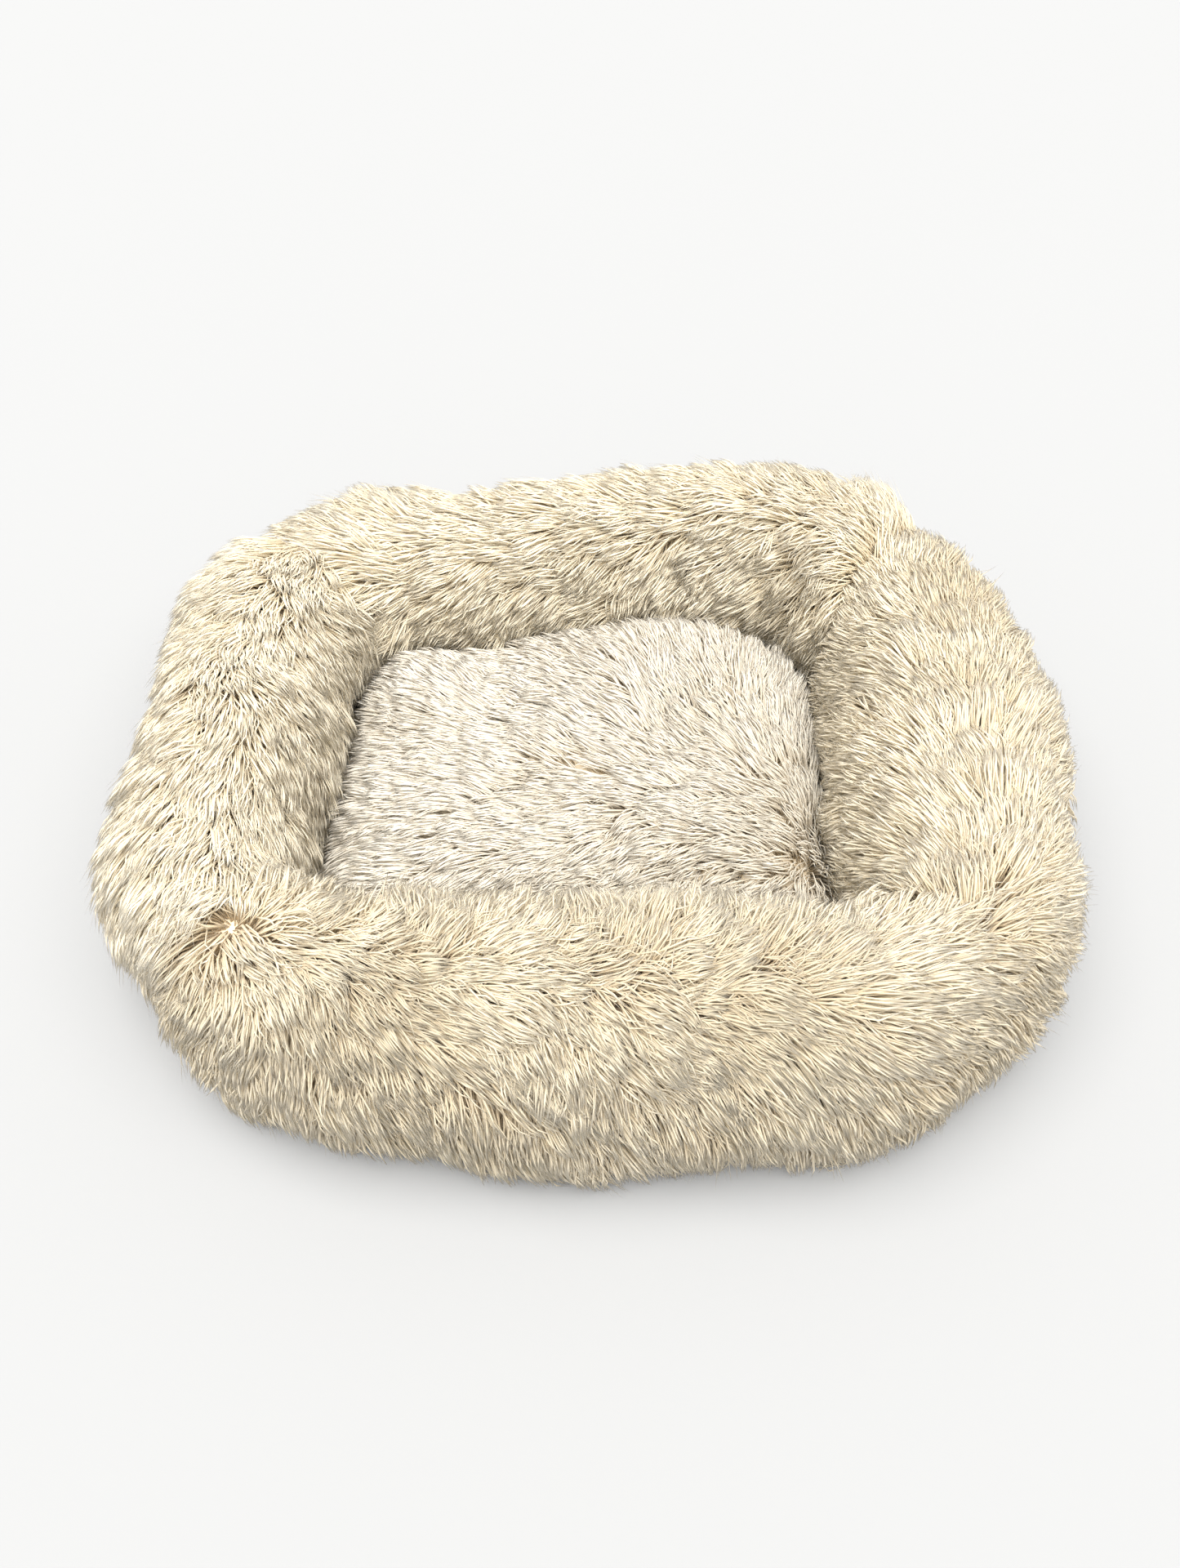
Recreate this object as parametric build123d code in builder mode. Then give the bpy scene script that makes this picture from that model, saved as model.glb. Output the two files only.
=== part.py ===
"""Rectangular plush pet bed: four stuffed bolster sides sewn together at mitred corners,
a padded floor on a non-slip base cloth, a loose plush cushion that lifts out of the well,
and a zip low on the back for taking the filling out.

Millimetres. +Z is up, +X is to the bed's right, and -Y is its front. The origin is under
the middle of the bed, on the floor.
"""

import math
import os

from build123d import *

os.makedirs("parts", exist_ok=True)

# Overall sizes, over the laid pile.
overall_width = 640
overall_depth = 540
overall_height = 160

# Bolster: an elliptical roll that is flat where it rests on the base.
bolster_width = 150
floor_width = 86  # the flat strip that one bolster side rests on
inner_corner_radius = 40  # at the widest line of the bolster, inside the well
plush_depth = 18  # backing cloth and its laid pile

# Mitred corner seams.
seam_thickness = 2  # two turned-in seam allowances
seam_inset = 7  # how far the seam lies below the surface of the pile

# Base.
base_cloth_thickness = 2
binding_width = 6
floor_pad_thickness = 10
lining_thickness = 1.5

# Loose cushion.
cushion_thickness = 56
cushion_gap = 5  # to the bolster, all round
cushion_corner_radius = 36
cushion_crown = 22  # rounding of the cushion's top edge
cushion_lower_edge = 12  # rounding of its bottom edge
cushion_seam_height = 17  # side seam above the cushion's underside
cushion_pile_depth = 15
cushion_cloth_thickness = 2

# Zip in the back bolster.
zip_height = 30  # middle of the zip above the floor
zip_end_margin = 6  # from the end of the zip to the start of the corner bend
zip_wall = 1.5  # plush backing left between the slider's groove and the filling
tape_width = 9
tape_thickness = 1.2
zip_slit = 1.8  # between the two rows, where the slider's web runs
tooth_pitch = 4
tooth_length = 1.8  # along the row
tooth_reach = 2.4  # across the row
tooth_thickness = 1.6
stop_length = 4
stop_thickness = 2.4

# Slider and pull.
slider_length = 11
slider_width = 12
slider_plate = 1.2
slider_web = 1.0
slider_clearance = 0.35
arch_length = 7
arch_thickness = 1.4
arch_width = 2
arch_opening = 2.2
pull_pin_radius = 0.7
pull_length = 24
pull_width = 7
pull_thickness = 1.2
pull_hole_width = 4

# Care label.
label_width = 24
label_length = 22
label_thickness = 0.6
label_offset = 110  # to the left of the middle

fit_gap = 0.3  # between soft pieces that lie on each other

# Worked out from the sizes above.
half_bolster = bolster_width / 2
corner_radius = half_bolster + inner_corner_radius  # at the middle of the bolster
reach_x = overall_width / 2 - half_bolster  # middle of the left and right sides
reach_y = overall_depth / 2 - half_bolster  # middle of the front and back sides
run_x = reach_x - corner_radius  # half the straight run of the front and back
run_y = reach_y - corner_radius
seam_half = seam_thickness / 2

# Each side: its turn about Z, half its straight run and its distance from the origin.
sides = {
    "back": (0, run_x, reach_y),
    "left": (90, run_y, reach_x),
    "front": (180, run_x, reach_y),
    "right": (270, run_y, reach_x),
}
# Each corner seam: the signs of its X and Y.
corners = {
    "back_right": (1, 1),
    "back_left": (-1, 1),
    "front_left": (-1, -1),
    "front_right": (1, -1),
}


def roll_ellipse(inset):
    """The roll's ellipse, less an inset at its top and sides and half of it at its foot.

    Returns half its width, the height of its widest line and its rise above that line.
    The ellipse is as wide as the roll's flat foot where it meets the floor.
    """
    half = half_bolster - inset
    height = overall_height - inset
    share = math.sqrt(1 - ((floor_width - inset) / 2 / half) ** 2)
    belly = height * share / (1 + share)
    return half, belly, height - belly


def half_width(height, inset=0):
    """Half the roll's width at a height."""
    half, belly, rise = roll_ellipse(inset)
    return half * math.sqrt(1 - ((height - belly) / rise) ** 2)


def roll_section(inset, hollow, floor):
    """The roll's ellipse less an inset, less a hollow ellipse, cut flat at the floor."""
    half, belly, rise = roll_ellipse(inset)
    with Locations((0, belly)):
        Ellipse(half, rise)
    if hollow:
        half, belly, rise = roll_ellipse(hollow)
        with Locations((0, belly)):
            Ellipse(half, rise, mode=Mode.SUBTRACT)
    with Locations((0, floor)):
        Rectangle(
            2 * bolster_width,
            2 * overall_height,
            align=(Align.CENTER, Align.MAX),
            mode=Mode.SUBTRACT,
        )


def bolster_side(side, inset, hollow, floor):
    """One side of the ring: half a straight run and half a corner bend, then mirrored."""
    turn, run, reach = sides[side]
    bend = reach - corner_radius
    end = Plane(origin=(run, reach, 0), x_dir=(0, 1, 0), z_dir=(1, 0, 0))
    mitre = Plane(origin=(run, bend, 0), x_dir=(1, 1, 0), z_dir=(1, -1, 0))
    with BuildPart() as local:
        with BuildSketch(end) as section:
            roll_section(inset, hollow, floor)
        extrude(amount=-run)
        revolve(section.sketch, axis=Axis((run, bend, 0), (0, 0, -1)), revolution_arc=45)
        split(bisect_by=mitre.offset(-seam_half - fit_gap), keep=Keep.BOTTOM)
        mirror(about=Plane.YZ)
    with BuildPart() as placed:
        add(local.part, rotation=(0, 0, turn))
    return placed


def outline(distance):
    """A rounded rectangle at a distance outside the middle line of the bolster."""
    RectangleRounded(
        2 * (reach_x + distance), 2 * (reach_y + distance), corner_radius + distance
    )


def write(name, block):
    block.part.label = name
    export_step(block.part, f"parts/{name}.step")


# Plush covers and their fillings, one pair for each side.
filling_floor = base_cloth_thickness + fit_gap
covers = {side: bolster_side(side, 0, plush_depth, base_cloth_thickness) for side in sides}
for side in sides:
    filling = bolster_side(side, plush_depth + fit_gap, 0, filling_floor)
    write(f"{side}_bolster_filling", filling)

# The zip lies in a channel through the pile, on two ledges with the slider's groove between.
channel_height = 2 * tape_width + zip_slit
groove_height = slider_width + 2 * slider_clearance
groove_top = zip_height + groove_height / 2 + fit_gap
groove_floor = reach_y + half_width(groove_top, plush_depth) + zip_wall
groove_depth = (tooth_thickness - tape_thickness) / 2 + slider_plate + 2 * slider_clearance
tape_middle = groove_floor + groove_depth + tape_thickness / 2
zip_half = run_x - zip_end_margin
teeth_count = int((2 * zip_half - 2 * stop_length) // tooth_pitch)
row_half = teeth_count * tooth_pitch / 2
slider_x = row_half - slider_length / 2 - fit_gap  # closed, at the right end
channel_half = slider_x + pull_length + fit_gap  # room for the pull at either end
with BuildPart() as zipped_cover:
    add(covers["back"].part)
    for floor, height in (
        (tape_middle - tape_thickness / 2, channel_height),
        (groove_floor, groove_height),
    ):
        with Locations((0, floor, zip_height)):
            Box(
                2 * channel_half,
                2 * bolster_width,
                height + 2 * fit_gap,
                align=(Align.CENTER, Align.MIN, Align.CENTER),
                mode=Mode.SUBTRACT,
            )
covers["back"] = zipped_cover
for side, cover in covers.items():
    write(f"{side}_bolster_cover", cover)

# Corner seams: the turned-in allowances that close each mitre and part the fillings.
seam_half_width, seam_belly, seam_rise = roll_ellipse(seam_inset)
for corner, (side_x, side_y) in corners.items():
    bend_point = (side_x * run_x, side_y * run_y, 0)
    mitre = Plane(origin=bend_point, x_dir=(side_x, side_y, 0), z_dir=(side_y, -side_x, 0))
    with BuildPart() as seam:
        with BuildSketch(mitre):
            with Locations((corner_radius, 0)):
                up = 1 if mitre.y_dir.Z > 0 else -1
                with Locations((0, up * seam_belly)):
                    Ellipse(seam_half_width, seam_rise)
                with Locations((0, up * base_cloth_thickness)):
                    Rectangle(
                        2 * bolster_width,
                        2 * overall_height,
                        align=(Align.CENTER, Align.MAX if up > 0 else Align.MIN),
                        mode=Mode.SUBTRACT,
                    )
        extrude(amount=seam_half, both=True)
    write(f"{corner}_corner_seam", seam)

# Base cloth with a binding round its rim. The covers stand on both.
rim = half_width(base_cloth_thickness)
with BuildPart() as base_cloth:
    with BuildSketch():
        outline(rim - binding_width)
    extrude(amount=base_cloth_thickness)
write("base_cloth", base_cloth)

with BuildPart() as base_binding:
    with BuildSketch():
        outline(rim)
        RectangleRounded(
            2 * (reach_x + rim - binding_width),
            2 * (reach_y + rim - binding_width),
            corner_radius + rim - binding_width,
            mode=Mode.SUBTRACT,
        )
    extrude(amount=base_cloth_thickness)
write("base_binding", base_binding)

# Padded floor of the well: a wadding pad under a lining that reaches the bolster's foot.
pad_top = base_cloth_thickness + floor_pad_thickness
with BuildPart() as floor_pad:
    with BuildSketch(Plane.XY.offset(base_cloth_thickness)):
        outline(-half_width(pad_top) - fit_gap)
    extrude(amount=floor_pad_thickness)
write("floor_pad", floor_pad)

lining_top = pad_top + lining_thickness
with BuildPart() as well_lining:
    with BuildSketch(Plane.XY.offset(pad_top)):
        outline(-half_width(lining_top) - fit_gap)
    extrude(amount=lining_thickness)
write("well_lining", well_lining)

# Loose cushion: a plush top and a plain underside that meet at a side seam.
cushion_floor = lining_top + fit_gap
cushion_half_x = overall_width / 2 - bolster_width - cushion_gap
cushion_half_y = overall_depth / 2 - bolster_width - cushion_gap
cushion_seam = cushion_floor + cushion_seam_height
with BuildPart() as cushion_body:
    with BuildSketch(Plane.XY.offset(cushion_floor)):
        RectangleRounded(2 * cushion_half_x, 2 * cushion_half_y, cushion_corner_radius)
    extrude(amount=cushion_thickness)
    fillet(cushion_body.faces().sort_by(Axis.Z)[-1].edges(), cushion_crown)
    fillet(cushion_body.faces().sort_by(Axis.Z)[0].edges(), cushion_lower_edge)

core_floor = cushion_floor + cushion_cloth_thickness
core_height = cushion_thickness - cushion_cloth_thickness - cushion_pile_depth
core_corner = max(cushion_corner_radius - cushion_pile_depth, 1)


def core_outline(gap):
    """The plan of the space inside the cushion's covers, less a gap."""
    RectangleRounded(
        2 * (cushion_half_x - cushion_pile_depth - gap),
        2 * (cushion_half_y - cushion_pile_depth - gap),
        core_corner - gap,
    )


with BuildPart() as cushion_filling:
    with BuildSketch(Plane.XY.offset(core_floor + fit_gap)):
        core_outline(fit_gap)
    extrude(amount=core_height - 2 * fit_gap)
write("cushion_filling", cushion_filling)

with BuildPart() as cushion_space:
    with BuildSketch(Plane.XY.offset(core_floor)):
        core_outline(0)
    extrude(amount=core_height)

for name, keep, gap in (
    ("cushion_top_cover", Keep.TOP, 0),
    ("cushion_bottom_cover", Keep.BOTTOM, -fit_gap),
):
    with BuildPart() as cushion_cover:
        add(cushion_body.part)
        add(cushion_space.part, mode=Mode.SUBTRACT)
        split(bisect_by=Plane.XY.offset(cushion_seam + gap), keep=keep)
    write(name, cushion_cover)

# Zip tapes and the rows of teeth on their facing edges.
row_edge = zip_slit / 2
bead_height = tooth_reach / 3  # the solid edge that the teeth stand on
for name, up in (("upper", 1), ("lower", -1)):
    tape_foot = zip_height + up * (row_edge + tooth_reach)
    with BuildPart() as tape:
        with BuildSketch(Plane.XZ.offset(-tape_middle + tape_thickness / 2)):
            with Locations((0, tape_foot)):
                Rectangle(
                    2 * zip_half,
                    tape_width - tooth_reach,
                    align=(Align.CENTER, Align.MIN if up > 0 else Align.MAX),
                )
        extrude(amount=-tape_thickness)
    write(f"zip_tape_{name}", tape)
    with BuildPart() as row:
        with BuildSketch(Plane.XZ.offset(-tape_middle + tooth_thickness / 2)):
            with Locations((0, tape_foot)):
                Rectangle(
                    teeth_count * tooth_pitch,
                    bead_height,
                    align=(Align.CENTER, Align.MAX if up > 0 else Align.MIN),
                )
            with Locations((0, zip_height + up * (row_edge + tooth_reach / 2))):
                with GridLocations(tooth_pitch, 1, teeth_count, 1):
                    Rectangle(tooth_length, tooth_reach)
        extrude(amount=-tooth_thickness)
    write(f"zip_teeth_{name}", row)

# End stops, clamped between the tapes just past the last teeth.
stop_height = 2 * (row_edge + tooth_reach)
for name, end in (("left", -1), ("right", 1)):
    with BuildPart() as stop:
        with Locations((end * (row_half + fit_gap + stop_length / 2), tape_middle, zip_height)):
            Box(stop_length, stop_thickness, stop_height)
    write(f"zip_stop_{name}", stop)

# Slider: two plates joined by a web that runs in the slit, with an arch for the pull.
front_face = tape_middle + tooth_thickness / 2 + slider_clearance
back_face = tape_middle - tooth_thickness / 2 - slider_clearance
arch_foot = front_face + slider_plate
pull_pin_y = arch_foot + arch_opening / 2
with BuildPart() as zip_slider:
    with Locations((slider_x, front_face + slider_plate / 2, zip_height)):
        Box(slider_length, slider_plate, slider_width)
    with Locations((slider_x, back_face - slider_plate / 2, zip_height)):
        Box(slider_length, slider_plate, slider_width)
    with Locations((slider_x, tape_middle, zip_height)):
        Box(slider_length / 2, front_face - back_face, slider_web)
    with BuildSketch(Plane.XY.offset(zip_height - arch_width / 2)):
        with Locations((slider_x, arch_foot)):
            Rectangle(
                arch_length,
                arch_opening + arch_thickness,
                align=(Align.CENTER, Align.MIN),
            )
            Rectangle(
                arch_length - 2 * arch_thickness,
                arch_opening,
                align=(Align.CENTER, Align.MIN),
                mode=Mode.SUBTRACT,
            )
    extrude(amount=arch_width)
write("zip_slider", zip_slider)

# Pull: a tab with a slotted end, whose pin passes under the slider's arch.
with BuildPart() as zip_pull:
    with BuildSketch(Plane.XZ.offset(-pull_pin_y + pull_thickness / 2)):
        with Locations((slider_x - pull_length / 2 + pull_pin_radius, zip_height)):
            RectangleRounded(pull_length, pull_width, pull_width / 4)
        with Locations((slider_x - arch_length / 2, zip_height)):
            Rectangle(arch_length + 4 * pull_pin_radius, pull_hole_width, mode=Mode.SUBTRACT)
    extrude(amount=-pull_thickness)
    with Locations((slider_x, pull_pin_y, zip_height)):
        Cylinder(pull_pin_radius, pull_hole_width + 2 * pull_pin_radius)
write("zip_pull", zip_pull)

# Blank care label, sewn into the binding at the back and lying on the floor.
with BuildPart() as care_label:
    with Locations((-label_offset, reach_y + rim + fit_gap, base_cloth_thickness / 2)):
        Box(
            label_width,
            label_length,
            label_thickness,
            align=(Align.CENTER, Align.MIN, Align.CENTER),
        )
write("care_label", care_label)
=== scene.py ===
import math

import bmesh
import bpy
import numpy as np
from mathutils import Matrix, Vector


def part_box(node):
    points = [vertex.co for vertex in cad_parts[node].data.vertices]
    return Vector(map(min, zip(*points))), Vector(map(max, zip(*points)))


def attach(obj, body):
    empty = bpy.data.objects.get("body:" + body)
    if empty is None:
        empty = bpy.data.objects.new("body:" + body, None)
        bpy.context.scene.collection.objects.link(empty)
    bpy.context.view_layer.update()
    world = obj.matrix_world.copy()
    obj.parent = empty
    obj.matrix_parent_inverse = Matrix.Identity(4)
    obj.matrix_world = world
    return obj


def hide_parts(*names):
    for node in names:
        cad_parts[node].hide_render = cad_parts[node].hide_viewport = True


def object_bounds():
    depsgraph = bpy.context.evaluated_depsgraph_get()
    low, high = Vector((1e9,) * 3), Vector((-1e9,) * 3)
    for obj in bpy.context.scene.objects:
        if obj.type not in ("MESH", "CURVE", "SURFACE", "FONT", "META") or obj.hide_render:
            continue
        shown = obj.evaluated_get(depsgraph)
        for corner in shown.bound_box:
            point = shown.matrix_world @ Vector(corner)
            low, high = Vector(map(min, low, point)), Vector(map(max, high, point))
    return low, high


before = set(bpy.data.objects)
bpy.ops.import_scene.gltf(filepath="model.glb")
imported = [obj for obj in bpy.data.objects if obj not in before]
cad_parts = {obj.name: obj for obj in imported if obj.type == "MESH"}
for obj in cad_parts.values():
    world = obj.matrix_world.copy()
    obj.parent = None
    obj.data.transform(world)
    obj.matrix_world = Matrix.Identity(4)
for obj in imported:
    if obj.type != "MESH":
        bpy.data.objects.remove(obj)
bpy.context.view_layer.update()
random = np.random.default_rng(41)
tau = 2 * math.pi


# Sizes read from the frame, in metres.

halfX, halfY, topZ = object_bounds()[1]
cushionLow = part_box("cushion_bottom_cover")[0]
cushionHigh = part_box("cushion_top_cover")[1]
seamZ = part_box("cushion_top_cover")[0][2]
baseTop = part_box("base_cloth")[1][2]
liningLow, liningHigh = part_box("well_lining")

bed = {
    "cushionGap": 0.005,  # between the cushion and the widest line of the bolster
    "innerRadius": 0.040,  # bend of the well's corners
    "footWidth": 0.086,  # flat strip that a bolster side rests on
}
halfRoll = (halfX - cushionHigh[0] - bed["cushionGap"]) / 2
bendRadius = halfRoll + bed["innerRadius"]
reachX, reachY = halfX - halfRoll, halfY - halfRoll
runX, runY = reachX - bendRadius, reachY - bendRadius
sides = {  # turn about Z, half the straight run, distance of the middle line from the origin
    "back": (0, runX, reachY),
    "left": (90, runY, reachX),
    "front": (180, runX, reachY),
    "right": (270, runY, reachX),
}


# Small helpers.

def unit(vectors):
    return vectors / np.maximum(np.linalg.norm(vectors, axis=-1, keepdims=True), 1e-9)


def bell(x, width):
    return np.exp(-(x / width) ** 2)


def smooth(x, low, high):
    t = np.clip((x - low) / (high - low), 0, 1)
    return t * t * (3 - 2 * t)


def wander(p, scale, seed):
    # Smooth noise from -1 to 1: the sum of six sine waves that run in different directions.
    dice = np.random.default_rng(seed)
    total = np.zeros(p.shape[:-1])
    for _ in range(6):
        heading = unit(dice.normal(size=3)) * dice.uniform(0.6, 1.6) * tau / scale
        total += np.sin(p @ heading + dice.uniform(0, tau))
    return total / 3.2


def meshFromArrays(name, points, faces, smoothShade=True):
    # faces is a list of (n, k) index arrays, each with k corners a face
    mesh = bpy.data.meshes.new(name)
    mesh.vertices.add(len(points))
    mesh.vertices.foreach_set("co", np.asarray(points, np.float32).ravel())
    corners = np.concatenate([f.ravel() for f in faces]).astype(np.int32)
    sizes = np.concatenate([np.full(len(f), f.shape[1], np.int32) for f in faces])
    mesh.loops.add(len(corners))
    mesh.loops.foreach_set("vertex_index", corners)
    mesh.polygons.add(len(sizes))
    starts = np.concatenate([[0], np.cumsum(sizes)[:-1]]).astype(np.int32)
    mesh.polygons.foreach_set("loop_start", starts)
    mesh.polygons.foreach_set("use_smooth", np.full(len(sizes), smoothShade))
    mesh.update(calc_edges=True)
    mesh.validate()
    return mesh


def addPiece(name, mesh, material, body):
    piece = bpy.data.objects.new(name, mesh)
    bpy.context.scene.collection.objects.link(piece)
    mesh.materials.append(material)
    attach(piece, body)
    return piece


def gridFaces(rows, columns, wrapRows=False, wrapColumns=False):
    # quads between the points of a rows x columns grid
    i = np.arange(rows if wrapRows else rows - 1)
    j = np.arange(columns if wrapColumns else columns - 1)
    i, j = np.meshgrid(i, j, indexing="ij")
    nextI, nextJ = (i + 1) % rows, (j + 1) % columns
    quads = [i * columns + j, nextI * columns + j, nextI * columns + nextJ, i * columns + nextJ]
    return np.stack(quads, -1).reshape(-1, 4)


def faceOutwards(mesh):
    # a closed shape has positive volume when its faces point outwards
    mesh.calc_loop_triangles()
    count = len(mesh.loop_triangles)
    tri = np.empty(count * 3, np.int32)
    mesh.loop_triangles.foreach_get("vertices", tri)
    co = np.empty(len(mesh.vertices) * 3, np.float32)
    mesh.vertices.foreach_get("co", co)
    a, b, c = (co.reshape(-1, 3)[tri.reshape(-1, 3)[:, k]].astype(float) for k in range(3))
    if np.einsum("ij,ij->i", a, np.cross(b, c)).sum() < 0:
        mesh.flip_normals()


def closeMesh(mesh, weld=0.0):
    # joins points closer than weld, then turns every face outwards
    shape = bmesh.new()
    shape.from_mesh(mesh)
    if weld:
        bmesh.ops.remove_doubles(shape, verts=shape.verts, dist=weld)
    bmesh.ops.recalc_face_normals(shape, faces=shape.faces)
    shape.to_mesh(mesh)
    shape.free()
    faceOutwards(mesh)


# Shader groups and materials.

def newGroup(name, density):
    # inputs: the pattern's light and dark colours and how dense it is
    group = bpy.data.node_groups.new(name, "ShaderNodeTree")
    for label, kind in (("Light", "Color"), ("Dark", "Color"), ("Density", "Float")):
        socket = group.interface.new_socket(label, in_out="INPUT", socket_type=f"NodeSocket{kind}")
        socket.default_value = density if kind == "Float" else (0.7, 0.65, 0.55, 1)
    group.interface.new_socket("Colour", in_out="OUTPUT", socket_type="NodeSocketColor")
    group.interface.new_socket("Height", in_out="OUTPUT", socket_type="NodeSocketFloat")
    return group, group.nodes.new("NodeGroupInput"), group.nodes.new("NodeGroupOutput")


def addMath(tree, operation, *values):
    # each value is a number or the output that feeds it
    node = tree.nodes.new("ShaderNodeMath")
    node.operation = operation
    for socket, value in zip(node.inputs, values):
        if isinstance(value, float):
            socket.default_value = value
        else:
            tree.links.new(value, socket)
    return node.outputs[0]


def addNoise(tree, coords, scale, detail=2.0):
    noise = tree.nodes.new("ShaderNodeTexNoise")
    noise.inputs["Detail"].default_value = detail
    tree.links.new(coords.outputs["Object"], noise.inputs["Vector"])
    if isinstance(scale, float):
        noise.inputs["Scale"].default_value = scale
    else:
        tree.links.new(scale, noise.inputs["Scale"])
    return noise.outputs["Fac"]


def addMix(tree, factor, first, second):
    mix = tree.nodes.new("ShaderNodeMix")
    mix.data_type = "RGBA"
    for place, output in (("Factor", factor), (6, first), (7, second)):
        tree.links.new(output, mix.inputs[place])
    return mix.outputs[2]


def weaveGroup():
    # Plain weave: two sine waves across each other, read in the piece's own coordinates.
    group, start, end = newGroup("plainWeave", 900.0)
    coords = group.nodes.new("ShaderNodeTexCoord")
    split = group.nodes.new("ShaderNodeSeparateXYZ")
    group.links.new(coords.outputs["Object"], split.inputs[0])
    waves = []
    for axis in ("X", "Y"):
        scaled = addMath(group, "MULTIPLY", split.outputs[axis], start.outputs["Density"])
        waves.append(addMath(group, "SINE", scaled))
    height = addMath(group, "MULTIPLY_ADD", addMath(group, "MULTIPLY", *waves), 0.5, 0.5)
    shade = addMath(group, "MULTIPLY", height, addNoise(group, coords, 30.0))
    colour = addMix(group, shade, start.outputs["Dark"], start.outputs["Light"])
    group.links.new(colour, end.inputs["Colour"])
    group.links.new(height, end.inputs["Height"])
    return group


def mottleGroup():
    # Soft cloudy change between two colours, with a finer grain on top.
    group, start, end = newGroup("mottle", 40.0)
    coords = group.nodes.new("ShaderNodeTexCoord")
    cloud = addNoise(group, coords, start.outputs["Density"], 6.0)
    colour = addMix(group, cloud, start.outputs["Dark"], start.outputs["Light"])
    group.links.new(colour, end.inputs["Colour"])
    group.links.new(cloud, end.inputs["Height"])
    return group


groups = {"weave": weaveGroup(), "mottle": mottleGroup()}


def newMaterial(name, roughness=0.8, metallic=0.0, sheen=0.0):
    material = bpy.data.materials.new(name)
    material.use_nodes = True
    shader = material.node_tree.nodes["Principled BSDF"]
    shader.inputs["Roughness"].default_value = roughness
    shader.inputs["Metallic"].default_value = metallic
    shader.inputs["Sheen Weight"].default_value = sheen
    return material, shader


def groupMaterial(name, groupName, density, light, dark, bump=0.0, **finish):
    # A cloth or moulded finish: a shared group feeds the colour and a small bump.
    material, shader = newMaterial(name, **finish)
    nodes, links = material.node_tree.nodes, material.node_tree.links
    effect = nodes.new("ShaderNodeGroup")
    effect.node_tree = groups[groupName]
    for label, value in (("Density", density), ("Light", (*light, 1)), ("Dark", (*dark, 1))):
        effect.inputs[label].default_value = value
    links.new(effect.outputs["Colour"], shader.inputs["Base Color"])
    if bump:
        relief = nodes.new("ShaderNodeBump")
        relief.inputs["Strength"].default_value = bump
        relief.inputs["Distance"].default_value = 0.0005
        links.new(effect.outputs["Height"], relief.inputs["Height"])
        links.new(relief.outputs["Normal"], shader.inputs["Normal"])
    return material


def pileMaterial(name, shadedWarm, white, glow):
    # Fibre colour from root (v = 0) to tip (v = 1). u slides between a darker warm ramp, which paints
    # shade, and a white ramp; u also holds tone that differs at random.
    # Some of the light goes through each lock and comes out warmer.
    material, shader = newMaterial(name, roughness=0.62, sheen=0.25)
    nodes, links = material.node_tree.nodes, material.node_tree.links
    strand = nodes.new("ShaderNodeUVMap")
    strand.uv_map = "OFBake"
    split = nodes.new("ShaderNodeSeparateXYZ")
    links.new(strand.outputs["UV"], split.inputs[0])
    ramps = []
    for stops in (shadedWarm, white):
        ramp = nodes.new("ShaderNodeValToRGB")
        elements = ramp.color_ramp.elements
        while len(elements) < len(stops):
            elements.new(0.5)
        for element, place, colour in zip(elements, (0.0, 0.3, 0.65, 1.0), stops):
            element.position = place
            element.color = (*colour, 1)
        links.new(split.outputs["Y"], ramp.inputs["Fac"])
        ramps.append(ramp.outputs["Color"])
    colour = addMix(material.node_tree, split.outputs["X"], *ramps)
    links.new(colour, shader.inputs["Base Color"])
    through = nodes.new("ShaderNodeBsdfTranslucent")
    through.inputs["Color"].default_value = (*glow, 1)
    blend = nodes.new("ShaderNodeMixShader")
    blend.inputs["Fac"].default_value = 0.42
    links.new(shader.outputs["BSDF"], blend.inputs[1])
    links.new(through.outputs["BSDF"], blend.inputs[2])
    links.new(blend.outputs["Shader"], nodes["Material Output"].inputs["Surface"])
    return material


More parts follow.
